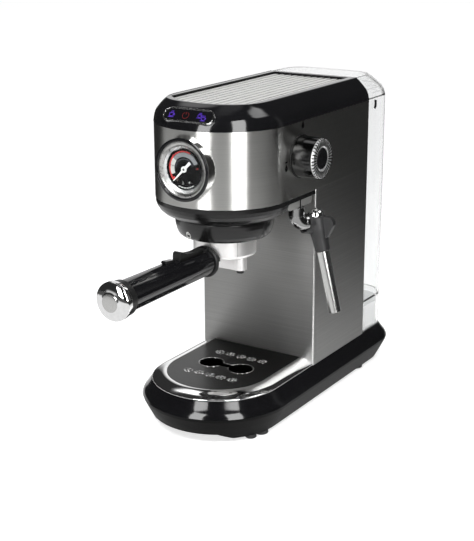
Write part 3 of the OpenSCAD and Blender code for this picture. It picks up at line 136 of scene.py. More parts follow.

# the knob's slots (their shade painted as black bars), the marks on the band and the collar, and
# the cup's parting lines
KNOB_TEETH = 36
SLOT_START = 0.64
SLOT_WIDE = 0.9
SLOT_DEPTH = 1.8
SLOT_PROUD = 0.05
MARK_LIFT = 0.12
MARK_SCALE = 1.3
DROP = ((0, 3.4), (-1.8, 0.2), (-1.3, -1.5), (0, -2.1), (1.3, -1.5), (1.8, 0.2))
DROP_AT = (65, -42.7, 286.4)
WATER_AT = (65, -72.5, 253)
LOCK_BODY = ((-1.3, -1.5), (1.3, -1.5), (1.3, 0.5), (-1.3, 0.5))
LOCK_AT = (-12, -119.5, 189.5)
LOCK_SCALE = 1.9
SEAM_H = 15
SEAM_WIDE = 0.3
SEAM_LEFT = (3, -105, 175)
SEAM_RIGHT = (25, -92, 175)

# smooth skins: the cap's levels are (share of its height, share of its lean)
SKIN_OUT = 0.2
HALF_W = 65
GROUP_Y = -74.9
CAP_Z = 291.5
CAP_H = 21.5
CAP_LEAN = 15
CAP_LEAN_FRONT = 19
CAP_ROUND = 2.65
CAP_BACK = 92.1
CAP_ARC = 240
CAP_STEPS = (
    (0, 0),
    (0.28, 0.09),
    (0.47, 0.22),
    (0.6, 0.385),
    (0.71, 0.54),
    (0.86, 0.76),
    (1, 1),
)
PANEL_HOLE_HALF = 19.75
PANEL_HOLE_R = 6.6
PANEL_BEHIND = -9

# the base's wall and the drip band's slope are (out from the base's edge, height), and the base's
# outline is arcs of (centre x, centre y, radius, first and last angle, steps)
BASE_WALL = ((0, 42), (4.6, 35.8), (7.9, 31.5), (9.5, 28))
BASE_ARCS = (
    (0, -87.5, 65, 180, 360, 120),
    (35, 122.5, 30, 0, 90, 30),
    (-35, 122.5, 30, 90, 180, 30),
)
BAND_BEND = -87.5
BAND_STEPS = 120
BAND_SLOPE = ((-0.6, 0), (-0.5, 0.9), (-2.3, 2.1), (-6.1, 4.1), (-10.4, 5.6))

# the handle's end: its corner is (in from the radius, out from the barrel)
DOME_H = 5.8
DOME_POWER = 0.8
DOME_LEVELS = 24
DOME_ROUND = 128
DOME_CORNER = ((0.6, 0), (0.15, 0.15), (0, 0.6))
BADGE_R = 8
BADGE_EDGE = 0.5
BADGE_RISE = 0.3

# drip plate: rims are (width, height)
COLUMN_FRONT = -15.9
DRAIN_X = 17
DRAIN_R = 12
DRAIN_SLOT = 6.8
DRAIN_RIM = (0.9, 0.35)
ROWS_AHEAD = (31.5, 87.5)
ROSETTE_PITCH = 12.5
ROSETTE_R = 3.7
ROSETTE_HOLES = 7
HOLE_R = 1.0
HOLE_RIM = (0.4, 0.2)

# finishes: plain blacks, how far a colour strays, and the radius of metal edges in metres
BLACK = (0.012, 0.012, 0.012)
DEEP_BLACK = (0.004, 0.004, 0.004)
PLASTIC_SPREAD = 0.06
METAL_SPREAD = 0.04
INK_SPREAD = 0.08
METAL_EDGE = 0.0004

# the control board's face, in metres: its parts stand behind it
BOARD_FACE = -0.0082


# ---------------------------------------------------------------- node helpers


def add(tree, kind, props=None, values=None):
    made = tree.nodes.new(kind)
    for key, value in (props or {}).items():
        setattr(made, key, value)
    for key, value in (values or {}).items():
        made.inputs[key].default_value = value
    return made


def start(name, colour, rough, metal=0.0, specular=0.5):
    """A material with its shader: plain values sit on the shader's own sockets."""
    material = bpy.data.materials.new(name)
    material.use_nodes = True
    tree = material.node_tree
    shader = tree.nodes["Principled BSDF"]
    shader.inputs["Base Color"].default_value = (*colour, 1)
    shader.inputs["Roughness"].default_value = rough
    shader.inputs["Metallic"].default_value = metal
    shader.inputs["Specular IOR Level"].default_value = specular
    return material, tree, shader


def noise(tree, scale, stretch=(1, 1, 1), detail=3.0):
    place = add(tree, "ShaderNodeTexCoord")
    mapping = add(tree, "ShaderNodeMapping")
    mapping.inputs["Scale"].default_value = stretch
    texture = add(tree, "ShaderNodeTexNoise", values={"Scale": scale, "Detail": detail})
    tree.links.new(place.outputs["Object"], mapping.inputs["Vector"])
    tree.links.new(mapping.outputs["Vector"], texture.inputs["Vector"])
    return texture.outputs["Fac"]


def tint(tree, shader, source, dark, light):
    ramp = add(tree, "ShaderNodeValToRGB")
    ramp.color_ramp.elements[0].position = 0.3
    ramp.color_ramp.elements[0].color = (*dark, 1)
    ramp.color_ramp.elements[1].position = 0.7
    ramp.color_ramp.elements[1].color = (*light, 1)
    tree.links.new(source, ramp.inputs["Fac"])
    tree.links.new(ramp.outputs["Color"], shader.inputs["Base Color"])


def polish(tree, shader, source, low, high):
    scaled = add(tree, "ShaderNodeMapRange", values={"From Min": 0.3, "From Max": 0.7})
    scaled.inputs["To Min"].default_value = low
    scaled.inputs["To Max"].default_value = high
    tree.links.new(source, scaled.inputs["Value"])
    tree.links.new(scaled.outputs["Result"], shader.inputs["Roughness"])


def relief(tree, shader, source, strength, depth, edge=0.0):
    """Fine relief, over edges that are rounded by edge metres."""
    bump = add(tree, "ShaderNodeBump", values={"Strength": strength, "Distance": depth})
    tree.links.new(source, bump.inputs["Height"])
    if edge > 0:
        bevel = add(tree, "ShaderNodeBevel", {"samples": 6}, {"Radius": edge})
        tree.links.new(bevel.outputs["Normal"], bump.inputs["Normal"])
    tree.links.new(bump.outputs["Normal"], shader.inputs["Normal"])


def shades(colour, spread):
    dark = tuple(c * (1 - spread) for c in colour)
    light = tuple(min(1.0, c * (1 + spread)) for c in colour)
    return dark, light


def moulded(name, colour, rough, grain, depth, edge, specular=0.5):
    """Plastic or rubber: slight colour change, uneven gloss and a fine grain."""
    material, tree, shader = start(name, colour, rough, 0.0, specular)
    wide = noise(tree, 24, detail=2)
    fine = noise(tree, grain, detail=3)
    tint(tree, shader, wide, *shades(colour, PLASTIC_SPREAD))
    polish(tree, shader, fine, rough * 0.9, min(1.0, rough * 1.12))
    relief(tree, shader, fine, 0.5, depth, edge)
    return material


def brushed(name, colour, rough, stretch, turn=0.25, spread=0.035):
    """Steel with fine parallel brush lines; the glint spreads across them."""
    material, tree, shader = start(name, colour, rough, 1.0)
    shader.inputs["Anisotropic"].default_value = 1
    shader.inputs["Anisotropic Rotation"].default_value = turn
    tangent = add(tree, "ShaderNodeTangent", {"direction_type": "RADIAL", "axis": "Z"})
    tree.links.new(tangent.outputs["Tangent"], shader.inputs["Tangent"])
    lines = noise(tree, 1.0, stretch, detail=4)
    tint(tree, shader, lines, *shades(colour, spread))
    polish(tree, shader, lines, rough * 0.94, rough * 1.06)
    relief(tree, shader, lines, 0.08, 0.00001, METAL_EDGE)
    return material


def metal(name, colour, rough, grain, depth, edge=METAL_EDGE):
    """Plated, cast or turned metal with slightly uneven polish."""
    material, tree, shader = start(name, colour, rough, 1.0)
    fine = noise(tree, grain, detail=3)
    tint(tree, shader, fine, *shades(colour, METAL_SPREAD))
    polish(tree, shader, fine, rough * 0.85, rough * 1.2)
    relief(tree, shader, fine, 0.3, depth, edge)
    return material


def clear(name, colour, rough, ior, edge=0.0):
    """Clear moulding whose shadow stays light."""
    material, tree, shader = start(name, colour, rough)
    shader.inputs["IOR"].default_value = ior
    shader.inputs["Transmission Weight"].default_value = 1
    ripple = noise(tree, 30, detail=1)
    relief(tree, shader, ripple, 0.1, 0.00005, edge)
    path = add(tree, "ShaderNodeLightPath")
    through = add(tree, "ShaderNodeBsdfTransparent")
    through.inputs["Color"].default_value = (0.94, 0.95, 0.95, 1)
    both = add(tree, "ShaderNodeMixShader")
    out = tree.nodes["Material Output"]
    tree.links.new(path.outputs["Is Shadow Ray"], both.inputs["Fac"])
    tree.links.new(shader.outputs["BSDF"], both.inputs[1])
    tree.links.new(through.outputs["BSDF"], both.inputs[2])
    tree.links.new(both.outputs["Shader"], out.inputs["Surface"])
    return material


def printed(name, colour, rough=0.4, glow=0.0, specular=0.5):
    """Ink or a lit symbol, with faint mottling; a glow on plain ink is painted light."""
    material, tree, shader = start(name, colour, rough, 0.0, specular)
    fleck = noise(tree, 900, detail=2)
    tint(tree, shader, fleck, *shades(colour, INK_SPREAD))
    if glow > 0:
        shader.inputs["Emission Color"].default_value = (*colour, 1)
        shader.inputs["Emission Strength"].default_value = glow
    return material


def board(name, lacquer, parts):
    """Green lacquered board whose parts stand behind its face in black."""
    material, tree, shader = start(name, lacquer, 0.45)
    place = add(tree, "ShaderNodeTexCoord")
    split = add(tree, "ShaderNodeSeparateXYZ")
    edge = add(tree, "ShaderNodeMath", {"operation": "GREATER_THAN"})
    edge.inputs[1].default_value = BOARD_FACE
    tree.links.new(place.outputs["Object"], split.inputs["Vector"])
    tree.links.new(split.outputs["Y"], edge.inputs[0])
    tint(tree, shader, edge.outputs["Value"], lacquer, parts)
    return material


# ---------------------------------------------------------------- finishes


def finishes():
    """One material for each of the record's slots."""
    return {
        "gloss_black": moulded("gloss_black", (0.007, 0.007, 0.008), 0.09, 900, 0.000006, 0.0006),
        "satin_black": moulded("satin_black", BLACK, 0.4, 2200, 0.00003, 0.0005, 0.3),
        "chin_black": moulded("chin_black", BLACK, 0.22, 1500, 0.00001, 0.0008, 0.35),
        "brushed_steel": brushed("brushed_steel", (0.62, 0.62, 0.60), 0.31, (8, 8, 1000)),
        "column_steel": brushed("column_steel", (0.62, 0.62, 0.61), 0.52, (8, 8, 1000), 0.25, 0.07),
        "chrome": metal("chrome", (0.86, 0.86, 0.86), 0.06, 300, 0.000001),
        "silvered": metal("silvered", (0.5, 0.5, 0.49), 0.3, 400, 0.000002, 0.0),
        "cast_metal": metal("cast_metal", (0.88, 0.87, 0.86), 0.38, 1400, 0.00003),
        "plate_metal": metal("plate_metal", (0.9, 0.9, 0.88), 0.4, 1600, 0.00002),
        "bracket_grey": moulded("bracket_grey", (0.30, 0.30, 0.29), 0.4, 1500, 0.00003, 0.0004),
        "rubber": moulded("rubber", (0.02, 0.02, 0.02), 0.75, 1800, 0.00005, 0.0004),
        "grip_rubber": moulded("grip_rubber", (0.022, 0.022, 0.023), 0.45, 1800, 0.00004, 0.0006),
        "dial_black": moulded("dial_black", (0.005, 0.005, 0.005), 0.5, 1500, 0.00001, 0.0, 0.02),
        "needle_white": printed("needle_white", (0.62, 0.62, 0.6), 0.45),
        "lens_clear": clear("lens_clear", (0.98, 0.99, 1.0), 0.0, 1.12),
        "panel_black": moulded("panel_black", (0.006, 0.006, 0.007), 0.08, 900, 0.000004, 0.0003),
        "drip_grey": metal("drip_grey", (0.034, 0.034, 0.034), 0.3, 1800, 0.00002),
        "tank_clear": clear("tank_clear", (0.925, 0.93, 0.93), 0.02, 1.3, 0.0008),
        "dock_grey": moulded("dock_grey", (0.7, 0.7, 0.7), 0.5, 1500, 0.00003, 0.0005),
        "valve_white": moulded("valve_white", (0.78, 0.78, 0.76), 0.45, 1500, 0.00002, 0.0004),
        "seal_red": moulded("seal_red", (0.42, 0.07, 0.05), 0.6, 1500, 0.00002, 0.0003),
        "brass": metal("brass", (0.72, 0.53, 0.24), 0.3, 700, 0.00002),
        "steel": metal("steel", (0.55, 0.55, 0.54), 0.3, 900, 0.00001),
        "cast_ali": metal("cast_ali", (0.62, 0.62, 0.61), 0.5, 900, 0.00008),
        "board_green": board("board_green", (0.03, 0.16, 0.06), (0.015, 0.015, 0.015)),
        "pump_body": moulded("pump_body", (0.09, 0.095, 0.10), 0.5, 1200, 0.00003, 0.0005),
        "hose": moulded("hose", (0.72, 0.70, 0.64), 0.4, 1200, 0.00002, 0.0),
    }


def own_finishes():
    """Nodes whose look differs a little from the rest of their slot."""
    return {
        "knob_bezel": metal("knurled_chrome", (0.92, 0.92, 0.92), 0.45, 500, 0.000002, 0.0001),
        "steam_knob": metal("dark_chrome", (0.06, 0.06, 0.06), 0.16, 300, 0.000001),
        "steam_elbow": metal("elbow_chrome", (0.3, 0.3, 0.3), 0.14, 300, 0.000001),
        "wand_sleeve": metal("sleeve_steel", (0.55, 0.55, 0.54), 0.2, 900, 0.000002),
        "base_floor": moulded("skirt_black", DEEP_BLACK, 0.5, 2200, 0.00003, 0.0005, 0.06),
        "group_collar": moulded("collar_black", (0.012, 0.012, 0.012), 0.16, 900, 0.00001, 0.0006),
    }


def dress(frame, table):
    own = own_finishes()
    for row in frame["record"]["subparts"]:
        shown = frame["nodes"][row["node"]]
        material = own.get(row["node"], table[row["material_slot"]])
        if not shown.material_slots:
            shown.data.materials.append(material)
        for place in shown.material_slots:
            place.material = material


# ---------------------------------------------------------------- flat pieces


def sector(inner, outer, low, high, steps=28):
    """Outline of a ring segment, in millimetres, anticlockwise."""
    points = []
    for i in range(steps + 1):
        a = math.radians(low + (high - low) * i / steps)
        points.append((outer * math.cos(a), outer * math.sin(a)))
    for i in range(steps + 1):
        a = math.radians(high - (high - low) * i / steps)
        points.append((inner * math.cos(a), inner * math.sin(a)))
    return points


def bar(x0, y0, x1, y1, width):
    """Outline of a straight stroke between two points."""
    along = Vector((x1 - x0, y1 - y0)).normalized()
    side = Vector((-along.y, along.x)) * width / 2
    corners = [(x0 - side.x, y0 - side.y), (x1 - side.x, y1 - side.y)]
    corners += [(x1 + side.x, y1 + side.y), (x0 + side.x, y0 + side.y)]
    return corners


def moved(outline, x, y, scale=1.0):
    return [(x + px * scale, y + py * scale) for px, py in outline]


def piece_from(name, built, material, body):
    """Close a built mesh and let it ride on a body."""
    mesh = bpy.data.meshes.new(name)
    bmesh.ops.recalc_face_normals(built, faces=built.faces)
    built.to_mesh(mesh)
    built.free()
    piece = bpy.data.objects.new(name, mesh)
    bpy.context.scene.collection.objects.link(piece)
    mesh.materials.append(material)
    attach(piece, body)
    return piece


def plate(name, outlines, place, thick, material, body):
    """Thin flat pieces from outlines in millimetres, carried to place, riding on body."""
    built = bmesh.new()
    for outline in outlines:
        low = [built.verts.new((x * MM, y * MM, 0)) for x, y in outline]
        top = [built.verts.new((x * MM, y * MM, thick * MM)) for x, y in outline]
        built.faces.new(list(reversed(low)))
        built.faces.new(top)
        count = len(outline)
        for i in range(count):
            j = (i + 1) % count
            built.faces.new((low[i], low[j], top[j], top[i]))
    built.transform(place)
    piece_from(name, built, material, body)


def dial_place(depth):
    """From the dial's plane (right, up, towards the viewer) into the machine's frame."""
    turn = Matrix(((1, 0, 0), (0, 0, -1), (0, 1, 0))).to_4x4()
    return Matrix.Translation((0, (GAUGE_FRONT + depth) * MM, GAUGE_Z * MM)) @ turn


def disc(radius, steps=28):
    return [
        (radius * math.cos(2 * math.pi * i / steps), radius * math.sin(2 * math.pi * i / steps))
        for i in range(steps)
    ]


def polar(radius, angle):
    a = math.radians(angle)
    return radius * math.cos(a), radius * math.sin(a)


def dial_print(inks):
    place = dial_place(PRINT_DEPTH)
    plate("dial_red_ring", [sector(*RED_RING)], place, PRINT_T, inks["red"], "machine")
    plate("dial_white_band", [sector(*WHITE_BAND)], place, PRINT_T, inks["white"], "machine")
    plate("dial_grey_band", [sector(*GREY_BAND)], place, PRINT_T, inks["grey"], "machine")
    plate("dial_inner_ring", [sector(*INNER_RING)], place, PRINT_T, inks["slate"], "machine")
    inner, outer, low, high = LOW_SCALE
    blocks = [
        sector(inner, outer, low + LOW_PITCH * i, low + LOW_PITCH * i + LOW_BLOCK, 4)
        for i in range(int((high - low) / LOW_PITCH) + 1)
    ]
    plate("dial_low_scale", blocks, place, PRINT_T, inks["white"], "machine")
    front = dial_place(PRINT_DEPTH - PRINT_T)
    plate("dial_tick", [sector(*TICK, 2)], front, PRINT_T, inks["black"], "machine")
    red_marks = [sector(*mark) for mark in RED_MARKS]
    plate("dial_red_marks", red_marks, place, PRINT_T, inks["red"], "machine")


def numeral(name, text, x, y, height, place, material, body):
    """A plain numeral as thin geometry, centred on x, y of its plane."""
    curve = bpy.data.curves.new(name, "FONT")
    curve.body = text
    curve.size = height * MM * NUMBER_FIT
    curve.extrude = NUMBER_T * MM
    curve.align_x = "CENTER"
    curve.align_y = "CENTER"
    letter = bpy.data.objects.new(name + "_curve", curve)
    bpy.context.scene.collection.objects.link(letter)
    bpy.context.view_layer.update()
    mesh = bpy.data.meshes.new_from_object(letter)
    mesh.name = name
    bpy.data.objects.remove(letter)
    mesh.transform(place @ Matrix.Translation((x * MM, y * MM, NUMBER_LIFT * MM)))
    piece = bpy.data.objects.new(name, mesh)
    bpy.context.scene.collection.objects.link(piece)
    mesh.materials.clear()
    mesh.materials.append(material)
    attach(piece, body)


def dial_numbers(inks):
    place = dial_place(PRINT_DEPTH)
    for text, angle, ink in NUMBERS:
        x, y = polar(NUMBER_R, angle)
        numeral("dial_number_" + text, text, x, y, NUMBER_H, place, inks[ink], "machine")


def needle_hub(inks):
    """Black disc in the middle of the needle's hub: painted shade standing in for the hole there.
    """
    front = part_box("gauge_needle")[0][1] / MM - GAUGE_FRONT
    place = dial_place(front)
    eye = [disc(NEEDLE_EYE_R)]
    plate("needle_hole_shade", eye, place, NEEDLE_EYE_T, inks["black"], "gauge_needle")


def panel_place(lift):
    tilt = Matrix.Rotation(math.radians(PANEL_TILT), 4, "X")
    seat = Matrix.Translation((0, PANEL_Y * MM, PANEL_Z * MM))
    return seat @ tilt @ Matrix.Translation((0, 0, lift * MM))


def stroke(points, width, closed=False):
    """Outlines of the straight strokes between points."""
    ends = points[1:] + (points[:1] if closed else [])
    return [bar(*a, *b, width) for a, b in zip(points, ends)]


def cup_strokes(x, y, scale):
    """A cup drawn in line: bowl, handle, saucer and two wisps of steam."""
    bowl = [(-2.2, 0.8), (-1.9, -1.1), (-1.1, -2.1), (1.1, -2.1), (1.9, -1.1), (2.2, 0.8)]
    shapes = stroke(bowl, CUP_LINE, closed=True)
    shapes.append(moved(sector(0.7, 1.2, -80, 80, 8), 2.1, -0.5))
    shapes += stroke([(-2.8, -2.9), (2.8, -2.9)], CUP_LINE)
    shapes += stroke([(-1.1, 1.4), (-0.5, 2.2), (-1.0, 3.1)], CUP_LINE)
    shapes += stroke([(0.6, 1.4), (1.2, 2.2), (0.7, 3.1)], CUP_LINE)
    return [moved(s, x, y, scale) for s in shapes]


def touch_icons(inks):
    place = panel_place(ICON_LIFT)
    one = cup_strokes(-15.0 + ICON_SHIFT, 0.2, 1.05)
    plate("icon_one_cup", one, place, ICON_T, inks["blue"], "machine")
    pair = cup_strokes(14.6 + ICON_SHIFT, 1.2, 0.9) + cup_strokes(19.2 + ICON_SHIFT, -1.2, 0.9)
    plate("icon_two_cups", pair, place, ICON_T, inks["blue"], "machine")
    ring = moved(sector(2.9, 3.5, 118, 422, 30), ICON_SHIFT, 0)
    power = [ring] + stroke([(ICON_SHIFT, 0.6), (ICON_SHIFT, 3.4)], 0.6)
    plate("icon_power", power, place, ICON_T, inks["ember"], "machine")


def on_surface(shown, point):
    """Matrix that carries a flat drawing to the nearest place of a node's surface, upright."""
    found, spot, normal, _ = shown.closest_point_on_mesh(Vector(point) * MM)
    right = Vector((0, 0, 1)).cross(normal).normalized()
    up = normal.cross(right)
    turn = Matrix((right, up, normal)).transposed().to_4x4()
    return Matrix.Translation(spot + normal * MARK_LIFT * MM) @ turn


def lock_mark(frame, inks):
    """Small padlock on the collar, where the portafilter's locked place is."""
    place = on_surface(frame["nodes"]["group_collar"], LOCK_AT)
    shackle = sector(0.65, 1.1, 0, 180, 10)
    shapes = [moved(shape, 0, 0, LOCK_SCALE) for shape in stroke(LOCK_BODY, 0.4, closed=True)]
    shapes.append(moved(shackle, 0, 0.6 * LOCK_SCALE, LOCK_SCALE))
    # its pale ink carries a painted glow
    plate("lock_mark", shapes, place, ICON_T, inks["pale"], "machine")


def knob_marks(frame, inks):
    """Steam drop above the knob, and a bar and drop in front of it."""
    band = frame["nodes"]["head_band"]
    over = on_surface(band, DROP_AT)
    plate("mark_drop", [moved(DROP, 0, 0.6, MARK_SCALE)], over, ICON_T, inks["jet"], "machine")
    side = on_surface(band, WATER_AT)
    shapes = [moved(DROP, 0, -1.2, MARK_SCALE), bar(-1.9, 4.9, 1.9, 4.9, 1.3)]
    plate("mark_water", shapes, side, ICON_T, inks["jet"], "machine")


def knob_slot_shade(inks):
    """Painted shade: black bars in the slots between the knob's teeth, over its face and its rim.
    """
    low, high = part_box("knob_bezel")
    outer = (high[2] - low[2]) / 2 / MM
    centre = Vector((0, (low[1] + high[1]) / 2, (low[2] + high[2]) / 2))
    turn = Matrix(((0, 0, 1), (1, 0, 0), (0, 1, 0))).to_4x4()
    foot = high[0] + (SLOT_PROUD - SLOT_DEPTH) * MM
    place = Matrix.Translation(centre + Vector((foot, 0, 0))) @ turn
    slots = []
    for i in range(KNOB_TEETH):
        a = 360 * i / KNOB_TEETH
        near = polar(outer * SLOT_START, a)
        far = polar(outer + SLOT_PROUD, a)
        slots.append(bar(*near, *far, SLOT_WIDE))
    # the black bars are painted shade, standing in for the dark of the slots
    plate("knob_slot_shade", slots, place, SLOT_DEPTH, inks["jet"], "steam_knob")


def cup_seams(frame, inks):
    """Fine parting lines down the cast cup."""
    cup = frame["nodes"]["portafilter_body"]
    for name, point in (("seam_left", SEAM_LEFT), ("seam_right", SEAM_RIGHT)):
        place = on_surface(cup, point)
        line = bar(0, -SEAM_H / 2, 0, SEAM_H / 2, SEAM_WIDE)
        plate(name, [line], place, ICON_T, inks["slate"], "portafilter")


# ---------------------------------------------------------------- smooth skins


def surface(name, rows, material, body, closed=False, keep=None):
    """A smooth skin through rows of points in millimetres; keep(middle) drops some faces."""
    built = bmesh.new()
    grid = [[built.verts.new((x * MM, y * MM, z * MM)) for x, y, z in row] for row in rows]
    count = len(rows[0])
    for low, top in zip(grid, grid[1:]):
        for i in range(count if closed else count - 1):
            ring = (low[i], low[(i + 1) % count], top[(i + 1) % count], top[i])
            middle = sum((v.co for v in ring), Vector()) / 4
            if keep is None or keep(middle):
                built.faces.new(ring).smooth = True
    loose = [v for v in built.verts if not v.link_faces]
    bmesh.ops.delete(built, geom=loose, context="VERTS")
    return piece_from(name, built, material, body)


def curve_through(knots, count):
    """Points on a smooth curve through the knots (Catmull-Rom)."""
    padded = [knots[0]] + list(knots) + [knots[-1]]
    points = []
    for k in range(1, len(padded) - 2):
        a, b, c, d = padded[k - 1 : k + 3]
        for i in range(count):
            t = i / count
            point = []
            for w, x, y, z in zip(a, b, c, d):
                bend = (2 * w - 5 * x + 4 * y - z) * t * t + (3 * x - w - 3 * y + z) * t**3
                point.append(0.5 * (2 * x + (y - w) * t + bend))
            points.append(tuple(point))
    return points + [tuple(knots[-1])]


def cap_row(lean, z, out):
    """One level of the cap: straight sides and a front that grows squarer with lean."""
    power = 2 / (2 + (CAP_ROUND - 2) * lean)
    wide = HALF_W - CAP_LEAN * lean + out
    deep = HALF_W - CAP_LEAN_FRONT * lean + out
    row = [(-wide, CAP_BACK, z)]
    for i in range(CAP_ARC + 1):
        a = math.pi * (1 - i / CAP_ARC)
        x = math.copysign(abs(math.cos(a)) ** power, math.cos(a))
        row.append((wide * x, GROUP_Y - deep * math.sin(a) ** power, z))
    return row + [(wide, CAP_BACK, z)]


def outside_slot(middle):
    seen = panel_place(0).inverted() @ middle / MM
    across = max(0, abs(seen.x) - PANEL_HOLE_HALF)
    return seen.z < PANEL_BEHIND or math.hypot(across, seen.y) > PANEL_HOLE_R


def cap_skin(material):
    """The cap's gloss face as one smooth curve, open where the touch panel sits."""
    rows = []
    for up, lean in curve_through(CAP_STEPS, 7):
        rows.append(cap_row(lean, CAP_Z + CAP_H * up, SKIN_OUT))
    rows.append(cap_row(1, CAP_Z + CAP_H + SKIN_OUT, -0.3))
    rows.append(cap_row(1, CAP_Z + CAP_H + SKIN_OUT, -1.2))
    surface("cap_skin", rows, material, "machine", keep=outside_slot)


def base_row(out, z):
    row = []
    for cx, cy, r, low, high, steps in BASE_ARCS:
        for i in range(steps + 1):
            a = math.radians(low + (high - low) * i / steps)
            row.append((cx + (r + out) * math.cos(a), cy + (r + out) * math.sin(a), z))
    return row


def base_skin(material):
    """The base's sloping gloss wall, smooth from the top edge to the ridge."""
    wall = curve_through(BASE_WALL, 6)
    rows = [base_row(out + SKIN_OUT, z) for out, z in wall]
    surface("base_skin", rows, material, "machine", closed=True)


def band_row(out, z, back):
    """One level of the drip tray's band: straight sides and a round front."""
    r = HALF_W + out
    row = [(r, back, z)]
    for i in range(BAND_STEPS + 1):
        x, y = polar(r, -180 * i / BAND_STEPS)
        row.append((x, BAND_BEND + y, z))
    return row + [(-r, back, z)]


def band_skin(material):
    """The band's polished slope as one smooth curve."""
    low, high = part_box("drip_band")
    rise = (high[2] - low[2]) / MM
    steps = BAND_SLOPE + ((-13.6, rise), (-14.4, rise - 0.05))
    back = high[1] / MM
    foot = low[2] / MM + SKIN_OUT
    rows = [band_row(out + SKIN_OUT / 2, foot + up, back) for out, up in curve_through(steps, 6)]
    surface("band_skin", rows, material, "drip_tray")


def end_dome(material):
    """The handle's chromed end with its raised plain badge, in place of the CAD cap."""
    low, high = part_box("handle_cap")
    radius = (high[0] - low[0]) / 2 / MM
    depth = (high[1] - low[1]) / MM
    side = depth - DOME_H
    profile = [(radius - inset, out) for inset, out in DOME_CORNER] + [(radius, side)]
    for i in range(1, DOME_LEVELS + 1):
        a = math.radians(90 * i / DOME_LEVELS)
        r = radius * max(0.0, math.cos(a)) ** DOME_POWER
        rise = BADGE_RISE * smooth(BADGE_R + BADGE_EDGE, BADGE_R, r)
        profile.append((r, side + (DOME_H - BADGE_RISE) * math.sin(a) + rise))
    profile[-1] = (0.02, depth)
    centre_z = (high[2] + low[2]) / 2 / MM
    rows = []
    for r, out in profile:
        ring = []
        for i in range(DOME_ROUND):
            a = 2 * math.pi * i / DOME_ROUND
            ring.append((r * math.cos(a), high[1] / MM - out, centre_z + r * math.sin(a)))
        rows.append(ring)
    flat = sum(r >= BADGE_R for r, _ in profile)
    piece = surface("end_dome", rows[:flat], material, "portafilter", closed=True)
    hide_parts("handle_cap")
    badge = metal("badge_steel", (0.5, 0.5, 0.49), 0.2, 900, 0.000002, 0.0)
    surface("end_badge", rows[flat - 1 :], badge, "portafilter", closed=True)


# ---------------------------------------------------------------- drip plate rims


def lip(path, width, height, z):
    """Rows of a small rounded lip that follows a closed path."""
    rows = [[] for _ in range(5)]
    count = len(path)
    for i in range(count):
        here = Vector(path[i])
        along = (Vector(path[(i + 1) % count]) - Vector(path[i - 1])).normalized()
        side = Vector((along.y, -along.x))
        for k, row in enumerate(rows):
            a = math.pi * k / 4
            spot = here + side * width * (1 - math.cos(a)) / 2
            row.append((spot.x, spot.y, z + height * math.sin(a)))
    return rows


def double_opening():
    """Outline of the two round openings and the slot that joins them."""
    meet = math.degrees(math.asin(DRAIN_SLOT / 2 / DRAIN_R))
    path = []
    for centre, low in ((DRAIN_X, -180 + meet), (-DRAIN_X, meet)):
        for i in range(41):
            x, y = polar(DRAIN_R, low + (360 - 2 * meet) * i / 40)
            path.append((centre + x, GROUP_Y + y))
    return path


def drip_rims(material):
    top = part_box("drip_plate")[1][2] / MM
    surface("drain_rim", lip(double_opening(), *DRAIN_RIM, top), material, "drip_plate")
    for row, ahead in enumerate(ROWS_AHEAD):
        for i in range(-2, 3):
            centre = (i * ROSETTE_PITCH, COLUMN_FRONT - ahead)
            rings = [centre]
            for k in range(ROSETTE_HOLES):
                x, y = polar(ROSETTE_R, k * 360 / ROSETTE_HOLES)
                rings.append((centre[0] + x, centre[1] + y))
            for k, (x, y) in enumerate(rings):
                name = f"hole_rim_{row}_{i + 2}_{k}"
                circle = moved(disc(HOLE_R, 14), x, y)
                surface(name, lip(circle, *HOLE_RIM, top), material, "drip_plate")


# ---------------------------------------------------------------- studio


def camera():
    lens = bpy.data.cameras.new("camera")
    lens.lens = CAMERA_LENS
    lens.clip_end = 50
    made = bpy.data.objects.new("camera", lens)
    bpy.context.scene.collection.objects.link(made)
    yaw = Matrix.Rotation(math.radians(CAMERA_YAW), 4, "Z")
    pitch = Matrix.Rotation(math.radians(CAMERA_PITCH), 4, "X")
    roll = Matrix.Rotation(math.radians(CAMERA_ROLL), 4, "Z")
    made.matrix_world = Matrix.Translation(CAMERA_AT) @ yaw @ pitch @ roll
    bpy.context.scene.camera = made


def toward(azimuth, elevation):
    """Direction from the object: azimuth runs from the front towards the knob's side."""
    a = math.radians(azimuth)
    e = math.radians(elevation)
    return Vector((math.sin(a) * math.cos(e), -math.cos(a) * math.cos(e), math.sin(e)))


def soft_box(name, azimuth, elevation, width, height, radiance):
    lamp = bpy.data.lights.new(name, "AREA")
    lamp.shape = "RECTANGLE"
    lamp.size = width
    lamp.size_y = height
    lamp.energy = radiance * math.pi * width * height
    made = bpy.data.objects.new(name, lamp)
    bpy.context.scene.collection.objects.link(made)
    way = toward(azimuth, elevation)
    made.location = AIM + way * LAMP_DISTANCE
    made.rotation_euler = way.to_track_quat("Z", "Y").to_euler()
    made.visible_camera = False
    return made


def strip_light(name, *values):
    """A tall lamp that only the polished parts show."""
    made = soft_box(name, *values)
    made.visible_diffuse = False
    made.visible_transmission = False


def seen_directly(tree):
    """1 for camera, glossy and transmission rays."""
    path = add(tree, "ShaderNodeLightPath")
    first = add(tree, "ShaderNodeMath", {"operation": "MAXIMUM"})
    second = add(tree, "ShaderNodeMath", {"operation": "MAXIMUM"})
    tree.links.new(path.outputs["Is Camera Ray"], first.inputs[0])
    tree.links.new(path.outputs["Is Glossy Ray"], first.inputs[1])
    tree.links.new(first.outputs["Value"], second.inputs[0])
    tree.links.new(path.outputs["Is Transmission Ray"], second.inputs[1])
    return second.outputs["Value"]


